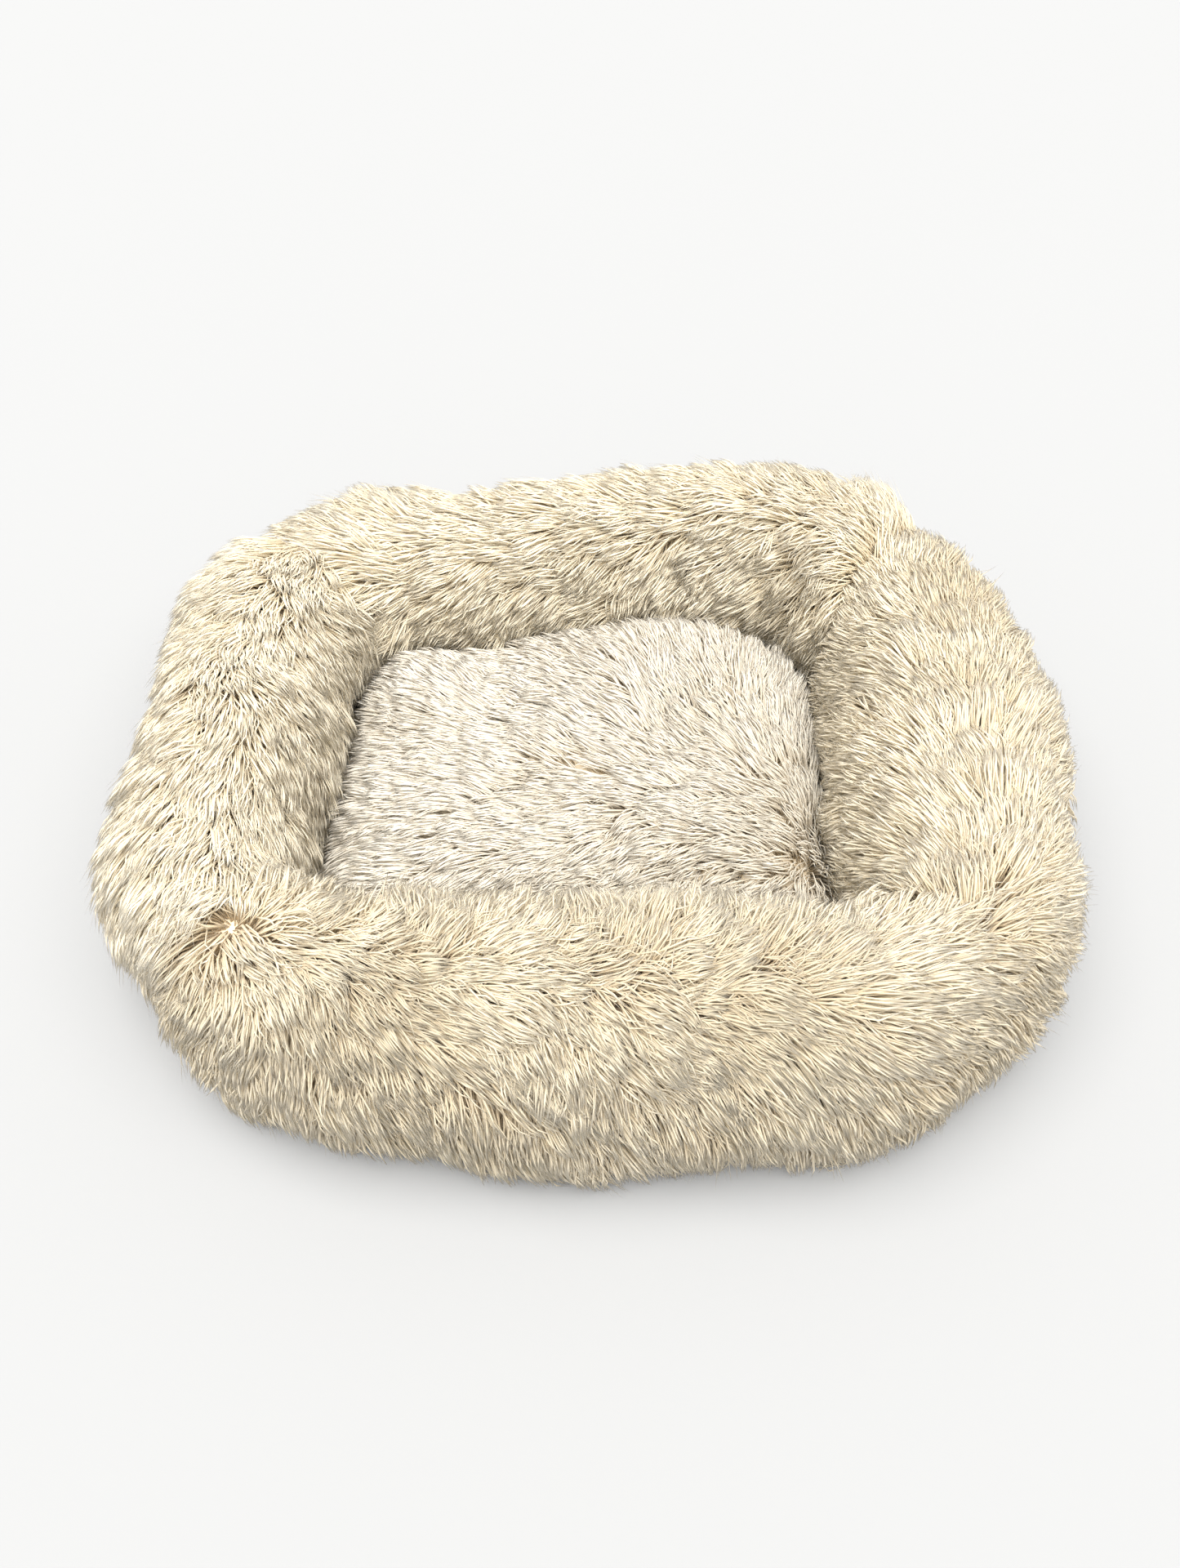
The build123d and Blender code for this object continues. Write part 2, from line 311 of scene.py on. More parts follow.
materials = {
    "bolsterPile": pileMaterial(
        "creamPile",
        [(0.68, 0.50, 0.30), (0.70, 0.58, 0.40), (0.71, 0.63, 0.47), (0.71, 0.66, 0.54)],
        [(0.97, 0.82, 0.56), (0.99, 0.89, 0.68), (0.99, 0.93, 0.78), (0.99, 0.95, 0.84)],
        (1.0, 0.93, 0.80),
    ),
    # The cushion's pile is darker in every colour than the bolsters' pile: painted shade over the whole
    # cushion.
    "cushionPile": pileMaterial(
        "shadedCushionPile",
        [(0.76, 0.63, 0.44), (0.78, 0.69, 0.53), (0.79, 0.73, 0.61), (0.79, 0.75, 0.65)],
        [(0.90, 0.79, 0.61), (0.92, 0.86, 0.74), (0.93, 0.89, 0.81), (0.93, 0.91, 0.85)],
        (0.95, 0.89, 0.79),
    ),
    "backing": groupMaterial(
        "knitBacking", "mottle", 60.0, (0.90, 0.79, 0.60), (0.80, 0.67, 0.48), bump=0.3, roughness=0.9,
    ),
    "lining": groupMaterial(
        "brushedLining", "weave", 2600.0, (0.78, 0.69, 0.54), (0.62, 0.52, 0.38),
        bump=0.4, roughness=0.9, sheen=0.2,
    ),
    "baseCloth": groupMaterial(
        "baseWeave", "weave", 3200.0, (0.66, 0.60, 0.49), (0.42, 0.37, 0.29), bump=0.5, roughness=0.9,
    ),
    "gripDots": groupMaterial(
        "gripRubber", "mottle", 90.0, (0.72, 0.69, 0.62), (0.60, 0.57, 0.50), roughness=0.55,
    ),
    "binding": groupMaterial(
        "bindingTape", "weave", 5200.0, (0.60, 0.49, 0.33), (0.36, 0.27, 0.16), bump=0.5, roughness=0.85,
    ),
    "filling": groupMaterial(
        "polyesterFibre", "mottle", 220.0, (0.93, 0.93, 0.92), (0.74, 0.74, 0.73), bump=0.8, roughness=0.95,
    ),
    "thread": groupMaterial(
        "sewingThread", "mottle", 900.0, (0.86, 0.79, 0.63), (0.66, 0.57, 0.42), roughness=0.6, sheen=0.3,
    ),
    "zipTape": groupMaterial(
        "zipTapeWeave", "weave", 6500.0, (0.76, 0.68, 0.52), (0.50, 0.42, 0.29), bump=0.5, roughness=0.8,
    ),
    "zipNylon": groupMaterial(
        "zipNylon", "mottle", 300.0, (0.83, 0.76, 0.60), (0.72, 0.64, 0.48), roughness=0.35,
    ),
    "zipMetal": groupMaterial(
        "creamEnamel", "mottle", 500.0, (0.80, 0.73, 0.58), (0.66, 0.58, 0.44),
        bump=0.2, roughness=0.3, metallic=0.3,
    ),
    "label": groupMaterial(
        "satinLabel", "weave", 9000.0, (0.93, 0.92, 0.88), (0.80, 0.79, 0.74),
        bump=0.3, roughness=0.45, sheen=0.3,
    ),
}
print("materials made")


# Floor, light and camera.

studio = {
    "aim": (-0.004, 0.010, 0.045),
    "azimuth": -3.2,  # the camera stands a little to the right of the bed's middle
    "elevation": 52.7,
    "distance": 0.845,
    "roll": -1.0,
    "lens": 27.0,
    "sunStrength": 4.15,
    "sunFrom": (-0.18, -0.14, 1.0),
    "sunSpread": 55,  # degrees; wide, so that shadows stay soft
    "fillStrength": 2.35,
    "fillFrom": (0.34, -0.26, 1.0),
    "roomStrength": 0.84,
    "floorColour": (0.323, 0.326, 0.331),
}


def makeStage():
    mesh = meshFromArrays(
        "floor", [(-6, -6, 0), (6, -6, 0), (6, 6, 0), (-6, 6, 0)], [np.array([[0, 1, 2, 3]])], False
    )
    mesh.transform(Matrix.Translation((0, 0, -0.0004)))
    floor = bpy.data.objects.new("floor", mesh)
    bpy.context.scene.collection.objects.link(floor)
    paper, shader = newMaterial("palePaper", roughness=0.9)
    shader.inputs["Base Color"].default_value = (*studio["floorColour"], 1)
    mesh.materials.append(paper)
    world = bpy.data.worlds.new("paleRoom")
    world.use_nodes = True
    background = world.node_tree.nodes["Background"]
    background.inputs["Color"].default_value = (1.0, 0.99, 0.975, 1)
    background.inputs["Strength"].default_value = studio["roomStrength"]
    bpy.context.scene.world = world
    for name in ("sun", "fill"):
        data = bpy.data.lights.new(name, "SUN")
        data.energy, data.angle = studio[f"{name}Strength"], math.radians(studio["sunSpread"])
        data.color = (1.0, 0.99, 0.965)
        light = bpy.data.objects.new(name, data)
        light.rotation_euler = (-Vector(studio[f"{name}From"])).to_track_quat("-Z", "Y").to_euler()
        bpy.context.scene.collection.objects.link(light)
    data = bpy.data.cameras.new("camera")
    data.lens = studio["lens"]
    camera = bpy.data.objects.new("camera", data)
    turn, tilt = math.radians(studio["azimuth"]), math.radians(studio["elevation"])
    back = Vector((math.sin(-turn) * math.cos(tilt), -math.cos(turn) * math.cos(tilt), math.sin(tilt)))
    camera.location = Vector(studio["aim"]) + back * studio["distance"]
    look = (-back).to_track_quat("-Z", "Y")
    camera.rotation_mode = "QUATERNION"
    lean = Matrix.Rotation(math.radians(studio["roll"]), 3, "Z").to_quaternion()
    camera.rotation_quaternion = look @ lean
    bpy.context.scene.collection.objects.link(camera)
    bpy.context.scene.camera = camera
    bpy.context.scene.view_settings.view_transform = "Standard"


makeStage()
print("stage made")


# Bolster: the surface that the backing cloth lies on.

roll = {
    "pileDepth": 0.017,  # the laid pile's depth over the backing
    "wall": 0.004,  # from the backing's outside to the filling
    "clothGap": 0.0006,  # between the backing and the base cloth or the zip's tape
    "lump": 0.0035,  # uneven filling
    "lumpReach": (0.17, 0.07),  # how far apart its broad and its fine lumps are
    "lumpRing": (0.05, 0.06),  # half width and height of the ring that the lumps are read on
    "squareness": 0.94,  # exponent of the section: 1 is an ellipse, smaller is squarer
    "zipFlat": (0.022, 0.019),  # the flat cloth behind the zip: past its ends, above its middle
    "zipFlatBlend": (0.014, 0.007),
    "creaseReach": 0.024,
    "crease": {"backRight": 0.14, "backLeft": 0.04, "frontLeft": 0.03, "frontRight": 0.04},
}
# How the stuffed roll stands off the plain one, in metres: its outer belly, its inner belly
# (plus is towards the well) and its crest. A side has values at its two quarters and its middle.
stance = {
    "back": ((-0.022, -0.006, 0.005), (-0.014, -0.022, -0.024), (-0.016, -0.003, 0.006)),
    "left": ((-0.006, -0.006, -0.002), (-0.016, -0.014, -0.010), (-0.004, -0.003, -0.008)),
    "front": ((-0.010, 0.002, -0.010), (0.000, -0.002, 0.000), (0.000, -0.006, -0.003)),
    "right": ((-0.016, 0.003, -0.008), (0.010, 0.011, 0.008), (0.000, 0.000, -0.002)),
    "backLeft": (0.009, -0.010, -0.027),
    "backRight": (-0.002, -0.004, -0.004),
    "frontLeft": (-0.018, -0.010, -0.006),
    "frontRight": (-0.022, -0.002, -0.006),
}
endCorners = {  # corner at v = -1, corner at v = +1
    "back": ("backLeft", "backRight"),
    "left": ("frontLeft", "backLeft"),
    "front": ("frontRight", "frontLeft"),
    "right": ("backRight", "frontRight"),
}
halfLength = {side: run + bendRadius * math.pi / 4 for side, (_, run, _) in sides.items()}


def sidePath(side, v):
    # Middle line of one side: straight, then bent by up to 45 degrees about the corner's centre.
    turn, run, reach = sides[side]
    s = np.asarray(v) * halfLength[side]
    angle = np.maximum(np.abs(s) - run, 0) / bendRadius * np.sign(s)
    x = np.clip(s, -run, run) + bendRadius * np.sin(angle)
    y = reach - bendRadius + bendRadius * np.cos(angle)
    outX, outY = np.sin(angle), np.cos(angle)
    c, n = math.cos(math.radians(turn)), math.sin(math.radians(turn))
    place = np.stack([x * c - y * n, x * n + y * c, np.zeros_like(x)], -1)
    outward = np.stack([outX * c - outY * n, outX * n + outY * c, np.zeros_like(x)], -1)
    return place, outward


def stanceAt(side, v, which):
    # The mean of the side's five values, weighted by a bell of nearness along the side.
    low, high = endCorners[side]
    values = (stance[low][which], *stance[side][which], stance[high][which])
    total, weight = 0, 0
    for place, value in zip((-1, -0.5, 0, 0.5, 1), values):
        near = bell(v - place, 0.3)
        total, weight = total + near * value, weight + near
    return total / weight


def rollPoint(side, v, a, inset):
    # An ellipse round the middle line, a = 0 outwards and a quarter turn at the crest, flat where
    # it rests. Its bellies and crest follow the stance, and it draws in at the mitred ends.
    v, a = np.broadcast_arrays(np.asarray(v, float), np.asarray(a, float))
    place, outward = sidePath(side, v)
    foot = (bed["footWidth"] - inset) / 2
    half, height = halfRoll - inset, topZ - inset
    share = math.sqrt(1 - (foot / half) ** 2)
    belly = height * share / (1 + share)
    rise = height - belly
    low, high = endCorners[side]
    toEnd = (1 - np.abs(v)) * halfLength[side]
    depth = np.where(v < 0, roll["crease"][low], roll["crease"][high])
    upper = 0.35 + 0.65 * smooth(np.sin(a), -0.7, 0.5)
    keep = 1 - depth * bell(toEnd, roll["creaseReach"]) * upper
    across, up = np.cos(a), np.sin(a)
    (ringX, ringZ), (broad, fine) = roll["lumpRing"], roll["lumpReach"]
    read = np.stack([place[..., 0], place[..., 1], ringZ * up], -1) + outward * (ringX * across)[..., None]
    lump = roll["lump"] * wander(read, broad, 3) + 0.4 * roll["lump"] * wander(read, fine, 5)
    u = (half * keep + lump) * np.sign(across) * np.abs(across) ** roll["squareness"]
    u = u + stanceAt(side, v, 0) * smooth(across, -0.3, 0.9)
    u = u - stanceAt(side, v, 1) * smooth(-across, -0.3, 0.9)
    tall = rise * keep + lump + stanceAt(side, v, 2)
    z = belly + np.where(up > 0, tall, rise * keep + lump) * up
    point = place + outward * u[..., None]
    point[..., 2] = np.maximum(z, baseTop + roll["clothGap"])
    if side == "back":  # the cloth lies flat behind the zip
        (past, above), (blendX, blendZ) = roll["zipFlat"], roll["zipFlatBlend"]
        flat = smooth(zipHigh[0] + past - np.abs(point[..., 0]), 0, blendX) * (across > 0)
        flat = flat * smooth(above - np.abs(point[..., 2] - (zipLow[2] + zipHigh[2]) / 2), 0, blendZ)
        point[..., 1] += (zipLow[1] - roll["clothGap"] - point[..., 1]) * flat
    return point


def makeRoll(name, side, material, stands, inset, rows, columns, gap):
    # The closed roll: rings of points along the side, with a flat cap of quads at each mitre.
    edge = 1 - gap / halfLength[side]
    v = np.linspace(-edge, edge, rows)
    a = np.arange(columns) / columns * tau
    ring = rollPoint(side, v[:, None], a[None, :], inset)
    faces = [gridFaces(rows, columns, wrapColumns=True)]
    count = rows * columns
    points = [ring.reshape(-1, 3)]
    for row in (0, rows - 1):
        middle = ring[row].mean(0)
        last = row * columns + np.arange(columns)
        for share in (0.7, 0.4):
            inner = middle + (ring[row] - middle) * share
            start = sum(len(p) for p in points)
            now = start + np.arange(columns)
            faces.append(np.stack([last, now, np.roll(now, -1), np.roll(last, -1)], -1))
            points.append(inner)
            last = now
        start = sum(len(p) for p in points)
        points.append(middle[None])
        faces.append(np.stack([last, np.full(columns, start), np.roll(last, -1)], -1))
    mesh = meshFromArrays(name, np.concatenate(points), faces)
    closeMesh(mesh)
    piece = addPiece(name, mesh, material, "root")
    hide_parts(*stands)


zipLow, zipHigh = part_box("zip_tape_lower")[0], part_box("zip_tape_upper")[1]
for side in sides:
    makeRoll(
        f"{side}BolsterBacking", side, materials["backing"],
        [f"{side}_bolster_cover"], inset=roll["pileDepth"], rows=97, columns=64, gap=0.0012,
    )
    makeRoll(
        f"{side}BolsterFilling", side, materials["filling"],
        [f"{side}_bolster_filling"], inset=roll["pileDepth"] + roll["wall"], rows=49, columns=32,
        gap=0.006,
    )


def makeCornerSeam(corner, side):
    # A flat tape bent round the roll at the mitre, sunk in the crease between two sides.
    a = np.arange(64) / 64 * tau
    ring = rollPoint(side, 1.0, a, roll["pileDepth"] + 0.001)
    middle = ring.mean(0)
    spokes = unit(ring - middle)
    along = np.cross(spokes[0], spokes[16])
    section = np.array([
        (-0.0024, -0.0006), (0.0024, -0.0006), (0.0024, 0.0008), (0, 0.0013), (-0.0024, 0.0008),
    ])
    points = ring[:, None] + along * section[None, :, :1] + spokes[:, None] * section[None, :, 1:]
    points[..., 2] = np.maximum(points[..., 2], baseTop + 0.0003)
    mesh = meshFromArrays(f"{corner}Seam", points.reshape(-1, 3), [gridFaces(64, 5, True, True)])
    faceOutwards(mesh)
    piece = addPiece(f"{corner}Seam", mesh, materials["binding"], "root")
    node = corner.replace("Left", "_left").replace("Right", "_right")
    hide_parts(f"{node}_corner_seam")


for side, (_, corner) in endCorners.items():
    makeCornerSeam(corner, side)
print("bolster backing, filling and corner seams made")


# Cushion.

cushion = {
    "pileDepth": 0.012,
    "grow": (0.008, 0.016),  # the pile presses out past the plain block, against the bolster
    "shift": (-0.010, 0.007),
    "corner": 7.0,  # exponent of the outline: larger is squarer
    "shoulder": 5.0,  # exponent of the crowned profile, sideways
    "crown": 2.4,  # and upwards
    "underShoulder": 6.0,  # the same two exponents below the side seam
    "underCrown": 2.6,
    "wall": 0.002,  # thickness of the backing cloth
    "rearBulge": 0.030,  # the filling has gathered against the back of the well
    "rearBulgeAt": (0.045, 0.105),
    "rearPress": 0.022,
    "rearPressAt": 0.040,
    "rearWidth": 0.09,  # how wide both are, sideways
    "lump": 0.0022,
}


def cushionOutline(t, inset):
    # A superellipse, with t from 0 to 1 in step with the distance round it.
    halves = np.array([cushionHigh[0] + cushion["grow"][0], cushionHigh[1] + cushion["grow"][1]]) - inset
    angle = np.linspace(0, tau, 1441)
    ray = np.stack([np.cos(angle), np.sin(angle)], -1)
    gauge = np.sum(np.abs(ray / halves) ** cushion["corner"], -1) ** (1 / cushion["corner"])
    ring = ray / gauge[:, None]
    along = np.concatenate([[0], np.cumsum(np.linalg.norm(np.diff(ring, axis=0), axis=-1))])
    t = np.asarray(t) * along[-1]
    return np.interp(t, along, ring[:, 0]), np.interp(t, along, ring[:, 1])


def cushionTop(w, t, inset):
    # w is the angle of the crowned profile, 0 in the middle and 1 at the side seam.
    w, t = np.broadcast_arrays(w, t)
    outX, outY = cushionOutline(t, inset)
    spread = np.sin(w * math.pi / 2) ** (2 / cushion["shoulder"])
    rise = np.maximum(np.cos(w * math.pi / 2), 0) ** (2 / cushion["crown"])
    x, y = outX * spread + cushion["shift"][0], outY * spread + cushion["shift"][1]
    (atX, atY), rearWidth = cushion["rearBulgeAt"], cushion["rearWidth"]
    y = y + cushion["rearPress"] * bell(x - cushion["rearPressAt"], rearWidth) * smooth(y, 0.02, 0.12)
    bulge = cushion["rearBulge"] * bell(x - atX, rearWidth) * bell(y - atY, 0.05)
    dome = 0.004 * bell(x / 0.16, 0.8) * bell(y / 0.11, 0.8) + 0.003
    full = cushionHigh[2] - inset - seamZ + bulge + dome
    at = np.stack([x, y, seamZ + full * rise], -1)
    at[..., 2] += cushion["lump"] * wander(at, 0.11, 11) * rise
    return at


def cushionUnder(w, t, inset, rise=0.0):
    w, t = np.broadcast_arrays(w, t)
    outX, outY = cushionOutline(t, inset)
    spread = np.sin(w * math.pi / 2) ** (2 / cushion["underShoulder"])
    fall = np.maximum(np.cos(w * math.pi / 2), 0) ** (2 / cushion["underCrown"])
    x, y = outX * spread + cushion["shift"][0], outY * spread + cushion["shift"][1]
    return np.stack([x, y, seamZ - (seamZ - cushionLow[2] - rise) * fall], -1)


def discMesh(name, layers, rows, columns):
    # layers are functions of (profile angle, way round); each is a disc, and two join at their rims
    shares = np.linspace(0, 1, rows + 1)[1:]
    w = 2 / math.pi * np.arcsin(np.sin(shares * math.pi / 2) ** 2)
    t = np.arange(columns) / columns
    points, faces, rims, start = [], [], [], 0
    for surface in layers:
        hub = surface(np.zeros(1), np.zeros(1))
        ring = surface(w[:, None], t[None, :])
        points += [hub.reshape(-1, 3), ring.reshape(-1, 3)]
        faces.append(gridFaces(rows, columns, wrapColumns=True) + start + 1)
        first = start + 1 + np.arange(columns)
        faces.append(np.stack([np.full(columns, start), first, np.roll(first, -1)], -1))
        rims.append(start + 1 + (rows - 1) * columns + np.arange(columns))
        start += 1 + rows * columns
    a, b = rims
    faces.append(np.stack([a, b, np.roll(b, -1), np.roll(a, -1)], -1))
    mesh = meshFromArrays(name, np.concatenate(points), faces)
    closeMesh(mesh, weld=1e-6)
    mesh.polygons.foreach_set("use_smooth", np.ones(len(mesh.polygons), bool))
    return mesh


def makeCushion():
    skin, wall = cushion["pileDepth"], cushion["wall"]
    drop = np.array([0, 0, 0.0006])  # the underside lies this much lower, clear of the filling
    mesh = discMesh("cushionTopBacking", [
        lambda w, t: cushionTop(w, t, skin),
        lambda w, t: cushionTop(w, t, skin + wall),
    ], rows=40, columns=128)
    top = addPiece("cushionTopBacking", mesh, materials["backing"], "cushion")
    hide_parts("cushion_top_cover")
    mesh = discMesh("cushionUnderside", [
        lambda w, t: cushionUnder(w, t, skin - 0.002) - drop,
        lambda w, t: cushionUnder(w, t, skin - 0.001, 0.0015) - drop,
    ], rows=24, columns=128)
    under = addPiece("cushionUnderside", mesh, materials["lining"], "cushion")
    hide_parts("cushion_bottom_cover")
    mesh = discMesh("cushionFilling", [
        lambda w, t: cushionTop(w, t, skin + 0.004),
        lambda w, t: cushionUnder(w, t, skin + 0.004, 0.004),
    ], rows=20, columns=64)
    core = addPiece("cushionFilling", mesh, materials["filling"], "cushion")
    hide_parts("cushion_filling")


makeCushion()
print("cushion made")


# Pile: combed locks of fibre.

pile = {
    "bolsterLength": 0.041,
    "cushionLength": 0.033,
    "width": 0.00064,  # half the width of a lock
    "strandWidth": 0.0004,
    "clump": 0.011,  # how far apart the tufts stand
    "gather": 0.58,  # how much the tips of a tuft close up
    "blend": 0.014,  # how far the comb strokes blend into each other
    "rollRadius": 0.062,  # turns an angle round the roll into a distance
    "turn": (0.11, 0.08),  # how far a lock and a tuft stray from the combing, in radians
    "rootLift": (50, 14),  # degrees off the cloth at the root, and how much that varies
    "tipLift": (2, 10),  # the same at the tip
    "tuftLift": 1.6,  # how much both vary from tuft to tuft
    "sway": 0.16,  # how far a lock waves sideways
    "lowest": 0.0025,  # a lock's middle line hangs no lower than this
    "standOut": 0.010,  # and stands no more than this above the crest
    "zipBare": (0.006, 0.0125),  # the bare strip that carries the zip: past its ends, half height
    # Each side's pile is painted lighter or darker as light and shade, from the darker warm ramp (0) to
    # white (1).
    "paintedLight": {"back": 0.78, "left": 0.84, "front": 0.34, "right": 0.38},  # 0 warm, 1 white
}
lockRings = np.array([0.0, 0.34, 0.72, 1.0])
lockWidth = np.array([0.9, 1.1, 0.95])
strandRings = np.array([0.0, 0.5, 1.0])
strandWidth = np.array([1.0, 0.85])


# Comb strokes, as a groomer would lay them: place along the side (-1 to 1), place round the
# roll in degrees (0 outwards, 90 crest, 180 inwards), the way the tips point, and how tousled.
strokes = {
    "left": [
        (0.9, 20, (-0.8, -0.5, -0.5), 0.2), (0.9, 60, (-0.85, -0.4, 0), 0.3),
        (0.85, 95, (-0.2, -0.9, 0), 0.6), (0.8, 140, (0.7, -0.5, -0.4), 0.7),
        (0.4, 10, (-0.7, -0.5, -0.6), 0.15), (0.4, 55, (-0.8, -0.6, 0), 0.15),
        (0.45, 95, (-0.1, -0.9, 0), 0.5), (0.3, 130, (0.6, -0.7, -0.2), 0.5),
        (0.3, 165, (0.6, -0.7, -0.5), 0.2), (-0.2, 10, (-0.6, -0.5, -0.7), 0.15),
        (-0.2, 55, (-0.65, -0.8, 0), 0.15), (-0.2, 95, (-0.3, -0.9, 0), 0.4),
        (-0.2, 135, (0.3, -0.9, -0.2), 0.4), (-0.2, 165, (0.4, -0.8, -0.5), 0.15),
        (-0.7, 10, (-0.55, -0.5, -0.7), 0.2), (-0.7, 60, (-0.5, -0.85, 0), 0.2),
        (-0.7, 100, (-0.2, -0.95, 0), 0.3), (-0.7, 150, (0.15, -0.95, -0.2), 0.15),
    ],
    "back": [
        (-0.85, 30, (-0.6, 0.3, -0.7), 0.3), (-0.8, 75, (-0.9, 0.35, 0), 0.2),
        (-0.8, 110, (-1, 0.0, 0), 0.3), (-0.8, 150, (-0.75, -0.35, -0.5), 0.4),
        (-0.3, 20, (-0.5, 0.2, -0.8), 0.2), (-0.3, 70, (-0.9, 0.4, 0), 0.15),
        (-0.3, 110, (-1, 0.05, 0), 0.15), (-0.3, 145, (-0.85, -0.3, -0.4), 0.3),
        (-0.3, 170, (-0.7, -0.3, -0.7), 0.4), (0.15, 20, (-0.4, 0.2, -0.9), 0.2),
        (0.15, 75, (-0.8, 0.6, 0), 0.15), (0.12, 105, (-0.9, -0.15, 0), 0.5),
        (0.15, 135, (-0.6, -0.5, -0.5), 0.6), (0.2, 165, (-0.55, -0.4, -0.7), 0.3),
        (0.55, 25, (-0.2, 0.3, -0.9), 0.2), (0.55, 75, (-0.45, 0.85, 0), 0.2),
        (0.5, 110, (-0.85, -0.1, 0), 0.6), (0.6, 150, (-0.8, -0.25, -0.4), 0.4),
        (0.85, 30, (0.2, 0.4, -0.8), 0.4), (0.85, 80, (-0.5, 0.75, 0.1), 0.6),
        (0.8, 115, (-0.2, -0.5, 0), 1.0), (0.85, 150, (-0.6, -0.5, -0.4), 0.8),
    ],
    "right": [
        (-0.9, 20, (0.5, 0.6, -0.5), 0.2), (-0.9, 60, (0.4, 0.9, 0), 0.15),
        (-0.9, 95, (-0.05, 1, 0), 0.15), (-0.85, 130, (-0.6, 0.75, -0.1), 0.2),
        (-0.8, 165, (-0.8, 0.4, -0.4), 0.3), (-0.3, 15, (0.5, 0.3, -0.8), 0.2),
        (-0.3, 60, (0.55, 0.8, 0), 0.15), (-0.3, 95, (-0.05, 1, 0), 0.2),
        (-0.3, 130, (-0.7, 0.65, -0.1), 0.15), (-0.3, 165, (-0.95, 0.2, -0.3), 0.2),
        (0.3, 15, (0.6, 0.1, -0.8), 0.2), (0.3, 60, (0.65, 0.7, 0), 0.15),
        (0.3, 95, (-0.1, 1, 0), 0.2), (0.3, 130, (-0.8, 0.55, -0.1), 0.15),
        (0.3, 165, (-0.98, 0.1, -0.3), 0.2), (0.75, 15, (0.7, -0.1, -0.7), 0.2),
        (0.75, 55, (0.9, 0.35, 0), 0.2), (0.7, 85, (0.1, 0.95, 0), 0.3),
        (0.75, 130, (-0.9, 0.4, 0), 0.2), (0.9, 60, (0.85, -0.35, -0.1), 0.4),
        (0.92, 95, (-0.4, 0.6, 0), 0.6), (0.9, 150, (-0.9, 0.35, -0.2), 0.3),
    ],
    "front": [
        (0.95, 15, (-0.35, -0.2, -0.9), 0.3), (0.98, 50, (-0.7, -0.5, -0.4), 0.4),
        (1.0, 80, (-0.8, -0.1, 0), 0.3), (0.95, 108, (-0.5, 0.8, 0), 0.5),
        (0.88, 82, (0.9, -0.35, 0), 0.3), (0.93, 56, (0.0, -0.85, -0.5), 0.3),
        (0.8, 10, (-0.1, -0.1, -1), 0.2), (0.78, 45, (0.2, -0.7, -0.7), 0.3),
        (0.60, 80, (0.8, -0.4, 0), 0.4), (0.8, 122, (0.1, 0.9, 0.2), 0.6),
        (0.4, 10, (0.25, -0.1, -0.95), 0.15), (0.4, 45, (0.65, -0.5, -0.5), 0.2),
        (0.4, 75, (0.9, -0.3, 0), 0.5), (0.4, 110, (0.3, 0.8, 0.2), 0.9),
        (0.4, 150, (0.1, 0.7, -0.3), 0.5), (0.0, 10, (0.25, -0.1, -0.95), 0.15),
        (0.0, 45, (0.55, -0.55, -0.6), 0.2), (0.0, 75, (0.5, -0.7, 0), 0.8),
        (0.0, 110, (0.0, 0.9, 0.2), 1.0), (0.0, 150, (-0.1, 0.8, -0.3), 0.5),
        (-0.3, 10, (0.2, -0.1, -0.95), 0.15), (-0.3, 45, (0.45, -0.6, -0.6), 0.3),
        (-0.25, 80, (0.9, -0.2, 0), 0.6), (-0.35, 115, (0.1, 0.85, 0.2), 0.9),
        (-0.35, 150, (0.1, 0.8, -0.3), 0.5), (-0.65, 10, (0.3, -0.1, -0.9), 0.15),
        (-0.65, 45, (0.75, -0.45, -0.45), 0.2), (-0.65, 80, (0.95, 0.1, 0), 0.3),
        (-0.7, 120, (0.4, 0.8, 0.1), 0.5), (-0.95, 20, (0.6, -0.1, -0.8), 0.2),
        (-0.95, 60, (0.95, -0.2, -0.2), 0.3), (-0.95, 100, (0.8, 0.4, 0), 0.4),
    ],
}
# On the cushion the first two numbers are shares of its half length and half width.
cushionStrokes = [
    (-0.85, 0.75, (-0.9, 0.4, 0), 0.1), (-0.85, 0.0, (-1, 0.0, 0), 0.1),
    (-0.85, -0.7, (-0.85, -0.5, 0), 0.1), (-0.35, 0.8, (-0.9, 0.45, 0), 0.1),
    (-0.3, 0.2, (-0.97, 0.15, 0), 0.1), (-0.3, -0.4, (-0.97, -0.2, 0), 0.15),
    (-0.3, -0.85, (-0.85, -0.45, 0), 0.2), (0.1, 0.75, (-0.8, 0.55, 0), 0.2),
    (0.1, 0.1, (-0.95, 0.25, 0), 0.2), (0.1, -0.5, (-0.9, -0.4, 0), 0.3),
    (0.1, -0.9, (-0.8, -0.5, 0), 0.3), (0.4, 0.9, (-0.35, 0.9, 0), 0.2),
    (0.35, 0.45, (-0.6, 0.75, 0), 0.5), (0.45, 0.1, (-0.9, 0.35, 0), 0.3),
    (0.7, 0.85, (-0.05, 1, 0), 0.2), (0.95, 0.7, (0.3, 0.9, 0), 0.3),
    (0.75, 0.35, (-0.55, 0.85, 0), 0.2), (0.6, -0.2, (-0.95, 0.0, 0), 0.5),
    (0.95, 0.0, (-0.8, 0.45, 0), 0.3), (0.95, -0.35, (-0.85, -0.1, 0), 0.3),
    (0.55, -0.75, (-0.7, -0.7, 0), 0.5), (0.95, -0.85, (-0.6, -0.75, 0), 0.3),
]


def combedFlow(place, marks, combing):
    # Each root takes the mean of the strokes, weighted by nearness.
    flow, weight, tousle = np.zeros((len(place), 3)), np.zeros(len(place)), np.zeros(len(place))
    for mark, (_, _, way, loose) in zip(marks, combing):
        near = 1 / (np.sum((place - mark) ** 2, -1) + pile["blend"] ** 2) ** 1.6
        flow += near[:, None] * np.array(way)
        tousle += near * loose
        weight += near
    return flow / weight[:, None], tousle / weight


